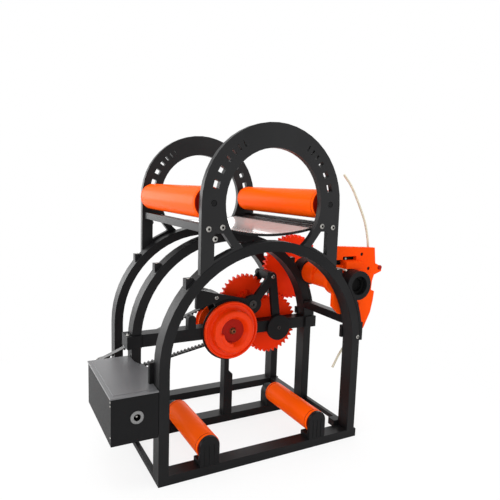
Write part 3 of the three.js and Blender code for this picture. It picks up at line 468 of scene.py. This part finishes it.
def hub():
    lip = 1
    easing = 0.6
    nose = 2.6
    chamfer = 2.4
    fillet = 1.2
    rounding = 0.8
    rim_easing = (0.7, 0.9)
    front, rim_front = HUB_BOSS_FRONT, HUB_RIM_FRONT
    shape = bmesh.new()
    spun(shape, [
        (HUB_BORE, HUB_FLOOR), (HUB_CUP_FLOOR, HUB_FLOOR), (HUB_CUP, front + easing), (HUB_CUP + lip, front),
        (HUB_BOSS - nose, front), (HUB_BOSS - lip, front + easing), (HUB_BOSS, front + chamfer),
        (HUB_BOSS, HUB_GROOVE - fillet), (HUB_BOSS + fillet, HUB_GROOVE),
        (HUB_RIM_INNER - rounding, HUB_GROOVE), (HUB_RIM_INNER, HUB_GROOVE - rounding),
        (HUB_RIM_INNER, rim_front + rounding), (HUB_RIM_INNER + rim_easing[0], rim_front),
        (HUB_RIM - rim_easing[1], rim_front), (HUB_RIM, rim_front + lip), (HUB_RIM, HUB_BACK),
        (HUB_BORE, HUB_BACK),
    ], AXLE, HUB_STEPS)
    floor_limit = at(0, HUB_FLOOR + OVERLAP, 0).y

    # Cup floor faces take the red painted shade
    def choose(face):
        in_cup = from_axis(face, AXLE) < HUB_CUP_FLOOR * MM
        return 1 if in_cup and face.calc_center_median().y < floor_limit else 0

    made = piece(
        "spool_hub_turned", shape, [hub_orange, painted_shade_red], "axle", HUB_EDGE, HUB_SEGMENTS,
        choose)
    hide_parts("spool_hub")


def hub_lug():
    first, last = LUG_ANGLES
    sunk = 0.3
    rooted = 0.2
    angles = [math.radians(first + (last - first) * step / LUG_STEPS) for step in range(LUG_STEPS + 1)]
    lug = bmesh.new()
    outline = arc(AXLE, HUB_LUG, angles) + arc(AXLE, HUB_CUP + sunk, reversed(angles))
    plate(lug, outline, HUB_BOSS_FRONT + sunk, HUB_FLOOR + rooted)
    piece("hub_cup_lug", lug, hub_orange, "axle", LUG_EDGE, HUB_SEGMENTS)


hub()
hub_lug()

# Rollers: a smooth tube with a shallow groove near each end, over a recessed end disc with a bushing;
# grooves, front end and end discs are dark red painted shade
UPPER_RADIUS = 16.7
UPPER_ENDS = (11.5, 197.5)
LOWER_RADIUS = 13.4
LOWER_ENDS = (5.3, 100.2)
ROLLER_WALL = 2.4
ROLLER_RECESS = 3
ROLLER_LIP = 0.35
ROLLER_ROUNDING = 0.8
LINE_INSET = 3.4
LINE_HALF = 0.4
LINE_DEPTH = 0.3
LINE_REACH = 0.3  # of the red painted shade from a line's middle and from the front end
DISC_BORE = 3.3
DISC_DEPTH = 2
BUSHING_RADIUS = 6
BUSHING_DEPTH = 1.2
DISC_STEPS = 64
BUSHING_STEPS = 32
ROLLER_STEPS = 96


def roller(name, place, body, radius, ends):
    start, end = ends
    rim = radius - ROLLER_WALL

    # Faces beside a groove and at the front end take the red painted shade
    def choose(face):
        station = face.calc_center_median().y / MM - FRONT_FACE
        beside = min(abs(station - start - LINE_INSET), abs(end - LINE_INSET - station))
        return 1 if beside < LINE_REACH or station < start + LINE_REACH else 0

    first = [
        (rim, start + ROLLER_RECESS), (rim, start + ROLLER_LIP), (rim + ROLLER_LIP, start),
        (radius - ROLLER_ROUNDING, start), (radius, start + ROLLER_ROUNDING),
        (radius, start + LINE_INSET - LINE_HALF), (radius - LINE_DEPTH, start + LINE_INSET),
        (radius, start + LINE_INSET + LINE_HALF),
    ]
    last = [(reach, start + end - station) for reach, station in reversed(first)]
    tube = bmesh.new()
    spun(tube, first + last, place, ROLLER_STEPS)
    made = piece(name + "_tube", tube, [roller_orange, painted_shade_red], body, choose=choose)
    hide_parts(name)
    recesses = ((start + ROLLER_RECESS, -1), (end - ROLLER_RECESS, 1))
    discs = bmesh.new()
    for near, out in recesses:
        inner, outer = sorted((near, near - out * DISC_DEPTH))
        reach = rim + OVERLAP
        spun(discs, [
            (DISC_BORE, inner), (reach, inner), (reach, outer), (DISC_BORE, outer),
        ], place, DISC_STEPS)
    piece(name + "_end_discs", discs, painted_shade_red, body)
    for index, (near, out) in enumerate(recesses):
        inner, outer = sorted((near, near + out * BUSHING_DEPTH))
        ring = bmesh.new()
        spun(ring, [
            (DISC_BORE, inner), (BUSHING_RADIUS, inner), (BUSHING_RADIUS, outer), (DISC_BORE, outer),
        ], place, BUSHING_STEPS)
        piece(f"{name}_end_bushing_{index}", ring, black_moulding, body, SHEET_EDGE)


for side, name in SIDES:
    roller(f"{name}_upper_roller", (side * UPPER_ROLLER[0], UPPER_ROLLER[1]), f"upper_{name}_roll",
           UPPER_RADIUS, UPPER_ENDS)
    roller(f"{name}_lower_roller", (side * LOWER_ROLLER[0], LOWER_ROLLER[1]), f"lower_{name}_roll",
           LOWER_RADIUS, LOWER_ENDS)

# Front brackets of the lower rollers: a round-topped plate with faint ribs, on a base below the roller
BRACKET_HALF = 11.2
BRACKET_RISE = 2.4
BRACKET_FOOT = 10
BRACKET_PLATE = 5
BRACKET_BASE_TOP = 15
BRACKET_EDGE = 0.6
BRACKET_SEGMENTS = 3
BRACKET_STEPS = 36
RIB_SPREAD = 5.5
RIB_HALF = 0.5
RIB_STATIONS = (-0.5, 0.2)
RIB_HEIGHTS = (BRACKET_FOOT + 1.5, LOWER_ROLLER[1] + 4)


def front_roller_bracket(side, name):
    centre_x = side * LOWER_ROLLER[0]
    angles = [math.pi * step / BRACKET_STEPS for step in range(BRACKET_STEPS + 1)]
    outline = [(centre_x - BRACKET_HALF, BRACKET_FOOT), (centre_x + BRACKET_HALF, BRACKET_FOOT)]
    outline += arc((centre_x, LOWER_ROLLER[1] + BRACKET_RISE), BRACKET_HALF, angles)
    shape = bmesh.new()
    plate(shape, outline, 0, BRACKET_PLATE)
    bar(shape, (centre_x - BRACKET_HALF, centre_x + BRACKET_HALF), (BRACKET_PLATE - OVERLAP, FRAME_DEPTH),
        (BRACKET_FOOT, BRACKET_BASE_TOP))
    made = piece(f"{name}_front_roller_bracket_domed", shape, black_moulding, "frame",
                 BRACKET_EDGE, BRACKET_SEGMENTS)
    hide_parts(f"{name}_front_roller_bracket")
    ribs = bmesh.new()
    for offset in (-RIB_SPREAD, 0, RIB_SPREAD):
        middle = centre_x + offset
        bar(ribs, (middle - RIB_HALF, middle + RIB_HALF), RIB_STATIONS, RIB_HEIGHTS)
    piece(f"{name}_front_roller_bracket_ribs", ribs, black_moulding, "frame", SHEET_EDGE)


for side, name in SIDES:
    front_roller_bracket(side, name)

# Level-wind barrel: two crossing grooves that join at the ends; radii and stations
BARREL_RADIUS = 15
BARREL_ENDS = (18.6, 99.9)
JOURNAL_RADIUS = 11
JOURNAL_FRONT = 10
JOURNAL_BACK = 146
STUB_RADIUS = 5
STUB_BACK = 153.6
JOURNAL_CHAMFER = 0.6
BARREL_ROWS = 110
BARREL_STEPS = 128
GROOVE_LEAD = 32
GROOVE_MARGIN = 8
GROOVE_WIDTH = 5.2
GROOVE_DEPTH = 2.6
GROOVE_WALL = 1.0
GROOVE_SLANT_SHARE = 0.75
BARREL_COLLAR = 1
SKIN_TOLERANCE = 0.01


def to_groove(angle, station):
    """Distance from a point of the barrel's skin to the nearer groove's middle."""
    start, end = BARREL_ENDS
    run = end - start - 2 * GROOVE_MARGIN
    from_turn = station - start - GROOVE_MARGIN
    travel = min(run, max(0, from_turn))
    distances = []
    for way in (-1, 1):
        path = way * travel / GROOVE_LEAD * 2 * math.pi
        off = (angle - path + math.pi) % (2 * math.pi) - math.pi
        distances.append(math.hypot(abs(off) * BARREL_RADIUS * GROOVE_SLANT_SHARE, from_turn - travel))
    return min(distances)


def barrel():
    start, end = BARREL_ENDS
    profile = [
        (0, JOURNAL_FRONT), (JOURNAL_RADIUS - JOURNAL_CHAMFER, JOURNAL_FRONT),
        (JOURNAL_RADIUS, JOURNAL_FRONT + JOURNAL_CHAMFER), (JOURNAL_RADIUS, start),
    ]
    profile += [(BARREL_RADIUS, start + (end - start) * row / BARREL_ROWS) for row in range(BARREL_ROWS + 1)]
    profile += [
        (JOURNAL_RADIUS, end), (JOURNAL_RADIUS, JOURNAL_BACK), (STUB_RADIUS, JOURNAL_BACK),
        (STUB_RADIUS, STUB_BACK), (0, STUB_BACK),
    ]
    shape = bmesh.new()
    spun(shape, profile, SCREW, BARREL_STEPS, closed=False)
    centre = at(SCREW[0], 0, SCREW[1])
    for vertex in shape.verts:
        x, z = vertex.co.x - centre.x, vertex.co.z - centre.z
        station = vertex.co.y / MM - FRONT_FACE
        on_skin = abs(math.hypot(x, z) - BARREL_RADIUS * MM) < SKIN_TOLERANCE * MM
        if not on_skin or not start + BARREL_COLLAR < station < end - BARREL_COLLAR:
            continue
        nearest = to_groove(math.atan2(z, x), station)
        fall = min(1, max(0, (GROOVE_WIDTH / 2 + GROOVE_WALL / 2 - nearest) / GROOVE_WALL))
        scale = 1 - GROOVE_DEPTH / BARREL_RADIUS * fall
        vertex.co.x, vertex.co.z = centre.x + x * scale, centre.z + z * scale
    made = piece("level_wind_barrel", shape, orange_plastic, "screw")
    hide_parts("level_wind_screw")


barrel()

# Toothed belt round the axle pulley and the motor pulley; radii of its pitch line
BIG_PITCH_RADIUS = 26.26
SMALL_PITCH_RADIUS = 11.14
BELT_STATIONS = (137.0, 145.0)
BELT_PITCH = 5
BELT_OUTSIDE = 1.6
BELT_VALLEY = 0.5
TOOTH_TIP_STRAIGHT = -1.0
TOOTH_TIP_ROUND = -0.2
TOOTH_SHARES = ((0.08, True), (0.42, True), (0.55, False), (0.75, False), (0.95, False))


def belt_route():
    """The belt's length, and a function from a travel to its centre, radius, angle and straightness."""
    big, small = AXLE, MOTOR
    direction = math.atan2(small[1] - big[1], small[0] - big[0])
    distance = math.hypot(small[0] - big[0], small[1] - big[1])
    spread = math.acos((BIG_PITCH_RADIUS - SMALL_PITCH_RADIUS) / distance)
    run = math.sqrt(distance ** 2 - (BIG_PITCH_RADIUS - SMALL_PITCH_RADIUS) ** 2)
    lengths = [
        BIG_PITCH_RADIUS * (2 * math.pi - 2 * spread), run, SMALL_PITCH_RADIUS * 2 * spread, run,
    ]
    total = sum(lengths)

    def along(centre, angle, travel):
        return centre[0] - math.sin(angle) * travel, centre[1] + math.cos(angle) * travel

    def spot(travel):
        travel %= total
        if travel < lengths[0]:
            return *big, BIG_PITCH_RADIUS, direction + spread + travel / BIG_PITCH_RADIUS, False
        travel -= lengths[0]
        if travel < lengths[1]:
            angle = direction - spread
            return *along(big, angle, travel), BIG_PITCH_RADIUS, angle, True
        travel -= lengths[1]
        if travel < lengths[2]:
            return *small, SMALL_PITCH_RADIUS, direction - spread + travel / SMALL_PITCH_RADIUS, False
        travel -= lengths[2]
        angle = direction + spread
        return *along(small, angle, travel), SMALL_PITCH_RADIUS, angle, True

    return total, spot


def belt():
    total, spot = belt_route()
    start, end = BELT_STATIONS
    teeth = round(total / BELT_PITCH)
    outer, inner = [], []
    for tooth in range(teeth):
        for share, raised in TOOTH_SHARES:
            x, z, radius, angle, straight = spot((tooth + share) * total / teeth)
            tip = TOOTH_TIP_STRAIGHT if straight else TOOTH_TIP_ROUND
            outer += arc((x, z), radius + BELT_OUTSIDE, [angle])
            inner += arc((x, z), radius + (tip if raised else BELT_VALLEY), [angle])
    shape = bmesh.new()
    outside = [shape.verts.new(at(x, start, z)) for x, z in outer]
    inside = [shape.verts.new(at(x, start, z)) for x, z in inner]
    faces = []
    for index in range(len(outside)):
        after = (index + 1) % len(outside)
        faces.append(shape.faces.new((outside[index], outside[after], inside[after], inside[index])))
    deepen(shape, faces, end - start)
    # Upward faces take the grey painted sheen, the rest black rubber
    made = piece("toothed_belt", shape, [belt_rubber, belt_top_painted_sheen], "frame", choose=upward)
    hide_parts("drive_belt")


belt()

# Filament: a listed route through the guide
STRAND_ROUTE = [
    (111.8, 29.75, 320.4), (125.6, 29.75, 304.9), (140.7, 29.75, 279.2), (150.2, 29.75, 258.6),
    (156, 29.75, 233), (156.5, 29.75, 200), (154.5, 29.75, 165), (149, 29.75, 130),
    (134.5, 29.75, 113), (121.8, 29.75, 100), (110, 29.75, 80.6),
]
STRAND_DIAMETER = 2.85
STRAND_PARTS = 8
STRAND_RESOLUTION = 4


def smooth_route(points):
    """Points on a smooth line through the given ones."""
    spots = [at(*point) for point in points]
    spots = [spots[0] * 2 - spots[1]] + spots + [spots[-1] * 2 - spots[-2]]
    line = []
    for a, b, c, d in zip(spots, spots[1:], spots[2:], spots[3:]):
        for part in range(STRAND_PARTS):
            t = part / STRAND_PARTS
            line.append(0.5 * (2 * b + (c - a) * t + (2 * a - 5 * b + 4 * c - d) * t ** 2
                               + (3 * b - a - 3 * c + d) * t ** 3))
    line.append(spots[-2])
    return line


def strand():
    line = smooth_route(STRAND_ROUTE)
    curve = bpy.data.curves.new("filament_strand", "CURVE")
    curve.dimensions = "3D"
    curve.bevel_depth = STRAND_DIAMETER / 2 * MM
    curve.bevel_resolution = STRAND_RESOLUTION
    curve.use_fill_caps = True
    spline = curve.splines.new("POLY")
    spline.points.add(len(line) - 1)
    for point, spot in zip(spline.points, line):
        point.co = (*spot, 1)
    curve.materials.append(strand_finish)
    made = bpy.data.objects.new("filament_strand", curve)
    bpy.context.scene.collection.objects.link(made)
    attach(made, "carriage_body")
    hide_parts("filament")


strand()

# Screw heads along Y: a low dome with a socket whose walls and floor take black painted shade
SOCKET_SHARE = 0.45
DOME_SHARE = 0.7
SOCKET_FLOOR_SHARE = 0.3
SHOULDER_SHARE = 0.45
SCREW_STEPS = 32
WASHER_BORE = 0.5
WASHER_HALF = 0.35
WASHER_STEPS = 40


def screw_head(name, place, station, radius=2.9, height=1.2, body="frame", metal=steel, out=-1, washer=0.0):
    socket = radius * SOCKET_SHARE
    tip = station + out * height
    floor = station + out * height * SOCKET_FLOOR_SHARE
    shape = bmesh.new()
    spun(shape, [
        (0, floor), (socket, floor), (socket, tip), (radius * DOME_SHARE, tip),
        (radius, station + out * height * SHOULDER_SHARE), (radius, station), (0, station),
    ], place, SCREW_STEPS, closed=False)
    seat = at(0, station, 0).y

    def choose(face):
        inside = from_axis(face, place) < (socket + SKIN) * MM
        return 1 if inside and abs(face.calc_center_median().y - seat) > SKIN * MM else 0

    piece(name, shape, [metal, painted_shade_black], body, choose=choose)
    if washer:
        front, back = station - WASHER_HALF, station + WASHER_HALF
        ring = bmesh.new()
        spun(ring, [(WASHER_BORE, back), (washer, back), (washer, front), (WASHER_BORE, front)], place,
             WASHER_STEPS)
        piece(name + "_washer", ring, dark_steel, body)


RING_SCREWS = ((61, 261.5), (76, 260), (69, 250))
RING_BACK = REAR_FACE + 7
CARRIER_SCREW_RADIUS = 2.6
PLATE_PROUD = 0.7
CAP_PROUD = 4.5
HUB_BOLT_SEAT = 89.5
LEG_CLAMP_SCREW = (121.9, 127.4)
for side, name in SIDES:
    for number, (x, z) in enumerate(RING_SCREWS):
        if side < 0 or z > RING_SCREWS[-1][1]:
            screw_head(f"{name}_front_ring_screw_{number}", (side * x, z), 0)
        screw_head(f"{name}_back_ring_screw_{number}", (side * x, z), RING_BACK, out=1)
screw_head("left_carrier_screw", LEFT_POST, MIDDLE_FRAME, CARRIER_SCREW_RADIUS)
screw_head("top_carrier_screw", TOP_POST, MIDDLE_FRAME, CARRIER_SCREW_RADIUS)
screw_head(
    "first_gear_screw", FIRST_GEAR, MIDDLE_FRAME - PLATE_PROUD, radius=3.4, height=1.4, metal=dark_steel,
    washer=5.4)
screw_head(
    "layshaft_screw", LAYSHAFT, MIDDLE_FRAME - CAP_PROUD, CARRIER_SCREW_RADIUS, height=1.0, metal=dark_steel)
screw_head("front_leg_clamp_screw", LEG_CLAMP_SCREW, 0, radius=2.3, height=0.9)
screw_head("hub_bolt_cap", AXLE, HUB_BOLT_SEAT, radius=3.1, height=0.9, body="axle", metal=brown_bolt)

# Screw heads on upward faces: a tapered head with a dark disc a little above it, black painted shade standing
# for the socket
HEAD_TAPER_SHARE = 0.85
SOCKET_PROUD = 0.15
LEVEL = 0.9
CLAMP_SCREW = (-127.8, 106, 128.5)
LUG_TOP = (93, 210.5)
LUG_SOCKET_STATION = FRAME_DEPTH / 2


def upright_screw(name, place, radius, height):
    shape = bmesh.new()
    socket = radius * SOCKET_SHARE
    for wide, tall in ((radius, height), (socket, height + SOCKET_PROUD)):
        middle = Matrix.Translation(at(*place) + Vector((0, 0, tall / 2 * MM)))
        bmesh.ops.create_cone(
            shape, cap_ends=True, segments=SCREW_STEPS, radius1=wide * MM,
            radius2=wide * HEAD_TAPER_SHARE * MM, depth=tall * MM, matrix=middle)

    def choose(face):
        small = face.calc_area() < math.pi * (socket * MM) ** 2
        return 1 if small and face.normal.z > LEVEL else 0

    piece(name, shape, [steel, painted_shade_black], "frame", choose=choose)


upright_screw("left_crossbar_clamp_screw", CLAMP_SCREW, radius=2.4, height=1.2)
for start, frame_name in ((0, "front"), (MIDDLE_FRAME, "middle"), (BACK_FRAME, "back")):
    for side, name in SIDES:
        place = (side * LUG_TOP[0], start + LUG_SOCKET_STATION, LUG_TOP[1])
        upright_screw(f"{frame_name}_{name}_lug_socket", place, radius=3.1, height=0.4)

# Carriage: a black painted-shade sheet and a steel pin behind the slot, black painted-shade discs in the
# holes, a dark red knob on the ear and a pale rod
SLOT_SHADE = ((99, 133.5), (28.1, 29.6), (210.5, 224))
SLOT_PIN = (115.5, 219.6)
SLOT_PIN_RADIUS = 1.4
SLOT_PIN_ENDS = (22.4, 28.3)
PLATE_HOLES = ((140.08, 224.29), (152.01, 205.97))
HOLE_SHADE_RADIUS = 2.1
HOLE_SHADE_ENDS = (22.8, 24.6)
EAR_KNOB = (170.4, 206.4)
EAR_KNOB_RADIUS = 2.9
EAR_KNOB_BACK_RADIUS = 3.1
EAR_KNOB_ENDS = (20.8, 22.4)
GUIDE_ROD = (100.4, 209.6)
GUIDE_ROD_RADIUS = 1.1
GUIDE_ROD_ENDS = (1.5, 22.5)
PIN_SIDES = 24
PLUG_SIDES = 32
HOLE_SHADE_EDGE = 0.1


def carriage_details():
    body = "carriage_body"
    slot_shade = bmesh.new()
    bar(slot_shade, *SLOT_SHADE)
    piece("carriage_slot_shade", slot_shade, painted_shade_black, body, SHEET_EDGE)
    slot_pin = bmesh.new()
    rod(slot_pin, SLOT_PIN_RADIUS, SLOT_PIN, *SLOT_PIN_ENDS, PIN_SIDES)
    piece("carriage_slot_pins", slot_pin, steel, body, SHEET_EDGE)
    for number, place in enumerate(PLATE_HOLES):
        hole = bmesh.new()
        rod(hole, HOLE_SHADE_RADIUS, place, *HOLE_SHADE_ENDS, PLUG_SIDES)
        piece(f"carriage_hole_shade_{number}", hole, painted_shade_black, body, HOLE_SHADE_EDGE)
    knob = bmesh.new()
    rod(knob, EAR_KNOB_RADIUS, EAR_KNOB, *EAR_KNOB_ENDS, PLUG_SIDES, far_radius=EAR_KNOB_BACK_RADIUS)
    piece("carriage_ear_knob", knob, painted_shade_red, body, BOLT_EDGE)
    guide_rod = bmesh.new()
    rod(guide_rod, GUIDE_ROD_RADIUS, GUIDE_ROD, *GUIDE_ROD_ENDS, PIN_SIDES)
    piece("carriage_guide_rod", guide_rod, rod_white, body, THIN_EDGE)


carriage_details()

# Front boss: a black plug hides the barrel's journal and paints the bore's shade; radii and stations
PLUG_HOLLOW = 7.4
PLUG_MOUTH = 8.2
PLUG_RADIUS = 11.1
PLUG_FRONT = 5.4
PLUG_FLOOR = 9.2
PLUG_BACK = 9.8
PLUG_STEPS = 48


def bore_shade_plug():
    plug = bmesh.new()
    spun(plug, [
        (0, PLUG_FLOOR), (PLUG_HOLLOW, PLUG_FLOOR), (PLUG_MOUTH, PLUG_FRONT), (PLUG_RADIUS, PLUG_FRONT),
        (PLUG_RADIUS, PLUG_BACK), (0, PLUG_BACK),
    ], SCREW, PLUG_STEPS, closed=False)
    piece("front_boss_shade_plug", plug, painted_shade_black, "frame", THIN_EDGE)


bore_shade_plug()

# Motor box: corner rivets, raised lid panel in the grey painted sheen, and the power jack with its pin
RIVET_HEIGHTS = (98.1, 94.2, 63)
RIVET_SIDE = -171.6
RIVET_STATION = 1.6
RIVET_RADIUS = 0.9
RIVET_COLUMNS = 20
RIVET_ROWS = 12
PANEL_SIDES = (-168.6, -125.3)
PANEL_STATIONS = (5, 108.5)
LID_TOP = 102.5
PANEL_SUNK = 0.4
PANEL_PROUD = 0.35
JACK_BORE = 3.4
JACK_BORE_FLOOR = 8.6
JACK_RING = 6.5
JACK_BODY = 5.4
JACK_DEPTH = 10
JACK_FRONT = -1.4
JACK_EASING = 0.6
JACK_MOUTH = 0.4
JACK_STEPS = 64
JACK_PIN_RADIUS = 1.0
JACK_PIN_ENDS = (1.2, 9)


def box_details():
    for number, height in enumerate(RIVET_HEIGHTS):
        rivet = bmesh.new()
        bmesh.ops.create_uvsphere(
            rivet, u_segments=RIVET_COLUMNS, v_segments=RIVET_ROWS, radius=RIVET_RADIUS * MM,
            matrix=Matrix.Translation(at(RIVET_SIDE, RIVET_STATION, height)))
        piece(f"box_corner_rivet_{number}", rivet, steel, "frame")
    panel = bmesh.new()
    bar(panel, PANEL_SIDES, PANEL_STATIONS, (LID_TOP - PANEL_SUNK, LID_TOP + PANEL_PROUD))
    piece("lid_panel", panel, lid_painted_sheen_grey, "frame", THIN_EDGE)


def power_jack():
    jack = bmesh.new()
    spun(jack, [
        (0, JACK_BORE_FLOOR), (JACK_BORE, JACK_BORE_FLOOR), (JACK_BORE, JACK_FRONT + JACK_MOUTH),
        (JACK_BORE + JACK_MOUTH, JACK_FRONT),
        (JACK_RING - JACK_EASING, JACK_FRONT), (JACK_RING, JACK_FRONT + JACK_EASING), (JACK_RING, 0),
        (JACK_BODY, 0), (JACK_BODY, JACK_DEPTH), (0, JACK_DEPTH),
    ], JACK, JACK_STEPS, closed=False)

    # Bore faces take the black painted shade
    def choose(face):
        return 1 if from_axis(face, JACK) < (JACK_BORE + SKIN) * MM else 0

    made = piece(
        "power_jack_dressed", jack, [jack_ring, painted_shade_black], "frame", choose=choose)
    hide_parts("power_jack")
    pin = bmesh.new()
    rod(pin, JACK_PIN_RADIUS, JACK, *JACK_PIN_ENDS, PIN_SIDES)
    piece("power_jack_pin", pin, steel, "frame", SHEET_EDGE)


box_details()
power_jack()

# Floor, light and background, in metres
FLOOR_REACH = 4
FLOOR_CELLS = 8
FLOOR_COLOUR = (0.95, 0.95, 0.95, 1)
FLOOR_ROUGHNESS = 0.7
FLOOR_SPECULAR = 0.1
FLOOR_FADE = (0.12, 0.42)
FLOOR_GLOW = 0.82
WORLD_FILL = 0.85
LAMP_AIM = Vector((0, 0, 0.16))
LAMPS = (
    ("overhead_lamp", (-0.1, 0.1, 1.7), 12, (1.6, 1.6)),
    ("front_left_lamp", (-1.2, -1.5, 0.9), 3.5, (1.0, 1.0)),
    ("left_lamp", (-1.8, 0.1, 0.7), 9, (1.2, 1.2)),
    ("low_lamp", (-0.9, -1.3, 0.12), 2.5, (1.4, 0.2)),
    ("right_lamp", (1.5, -0.9, 0.9), 5, (0.9, 0.9)),
    ("back_left_lamp", (-1.0, 1.6, 0.42), 12, (1.5, 0.7)),
    ("back_right_lamp", (0.9, 1.6, 0.42), 5, (1.5, 0.7)),
)


def make_floor():
    """Pale floor that turns plain white away from the object, for camera rays alone."""
    shape = bmesh.new()
    bmesh.ops.create_grid(shape, x_segments=FLOOR_CELLS, y_segments=FLOOR_CELLS, size=FLOOR_REACH)
    mesh = bpy.data.meshes.new("studio_floor")
    shape.to_mesh(mesh)
    shape.free()
    floor = bpy.data.objects.new("studio_floor", mesh)
    bpy.context.scene.collection.objects.link(floor)
    material = bpy.data.materials.new("pale_floor")
    material.use_nodes = True
    nodes, links = material.node_tree.nodes, material.node_tree.links
    surface = nodes["Principled BSDF"]
    surface.inputs["Base Color"].default_value = FLOOR_COLOUR
    surface.inputs["Roughness"].default_value = FLOOR_ROUGHNESS
    surface.inputs["Specular IOR Level"].default_value = FLOOR_SPECULAR
    glow = nodes.new("ShaderNodeEmission")
    glow.inputs["Strength"].default_value = 1
    place = nodes.new("ShaderNodeTexCoord")
    length = nodes.new("ShaderNodeVectorMath")
    length.operation = "LENGTH"
    links.new(place.outputs["Object"], length.inputs[0])
    fade = nodes.new("ShaderNodeMapRange")
    fade.interpolation_type = "SMOOTHSTEP"
    fade.inputs["From Min"].default_value, fade.inputs["From Max"].default_value = FLOOR_FADE
    fade.inputs["To Min"].default_value = FLOOR_GLOW
    links.new(length.outputs["Value"], fade.inputs["Value"])
    rays = nodes.new("ShaderNodeLightPath")
    seen = nodes.new("ShaderNodeMath")
    seen.operation = "MULTIPLY"
    links.new(fade.outputs["Result"], seen.inputs[0])
    links.new(rays.outputs["Is Camera Ray"], seen.inputs[1])
    mix = nodes.new("ShaderNodeMixShader")
    links.new(seen.outputs["Value"], mix.inputs["Fac"])
    links.new(surface.outputs["BSDF"], mix.inputs[1])
    links.new(glow.outputs["Emission"], mix.inputs[2])
    links.new(mix.outputs["Shader"], nodes["Material Output"].inputs["Surface"])
    mesh.materials.append(material)


def make_world():
    """White for camera, glossy and transmission rays, and a softer fill on the object."""
    world = bpy.data.worlds.new("studio_world")
    bpy.context.scene.world = world
    world.use_nodes = True
    nodes, links = world.node_tree.nodes, world.node_tree.links
    background = nodes["Background"]
    background.inputs["Color"].default_value = (1, 1, 1, 1)
    rays = nodes.new("ShaderNodeLightPath")
    total = rays.outputs["Is Camera Ray"]
    for kind in ("Is Glossy Ray", "Is Transmission Ray"):
        larger = nodes.new("ShaderNodeMath")
        larger.operation = "MAXIMUM"
        links.new(total, larger.inputs[0])
        links.new(rays.outputs[kind], larger.inputs[1])
        total = larger.outputs["Value"]
    strength = nodes.new("ShaderNodeMapRange")
    strength.inputs["To Min"].default_value = WORLD_FILL
    strength.inputs["To Max"].default_value = 1
    links.new(total, strength.inputs["Value"])
    links.new(strength.outputs["Result"], background.inputs["Strength"])


def lamp(name, place, power, size):
    data = bpy.data.lights.new(name, "AREA")
    data.energy = power
    data.shape = "RECTANGLE"
    data.size, data.size_y = size
    made = bpy.data.objects.new(name, data)
    bpy.context.scene.collection.objects.link(made)
    made.location = place
    made.rotation_mode = "QUATERNION"
    made.rotation_quaternion = (LAMP_AIM - Vector(place)).to_track_quat("-Z", "Y")


make_floor()
make_world()
for name, place, power, size in LAMPS:
    lamp(name, place, power, size)
bpy.context.scene.view_settings.view_transform = "Standard"
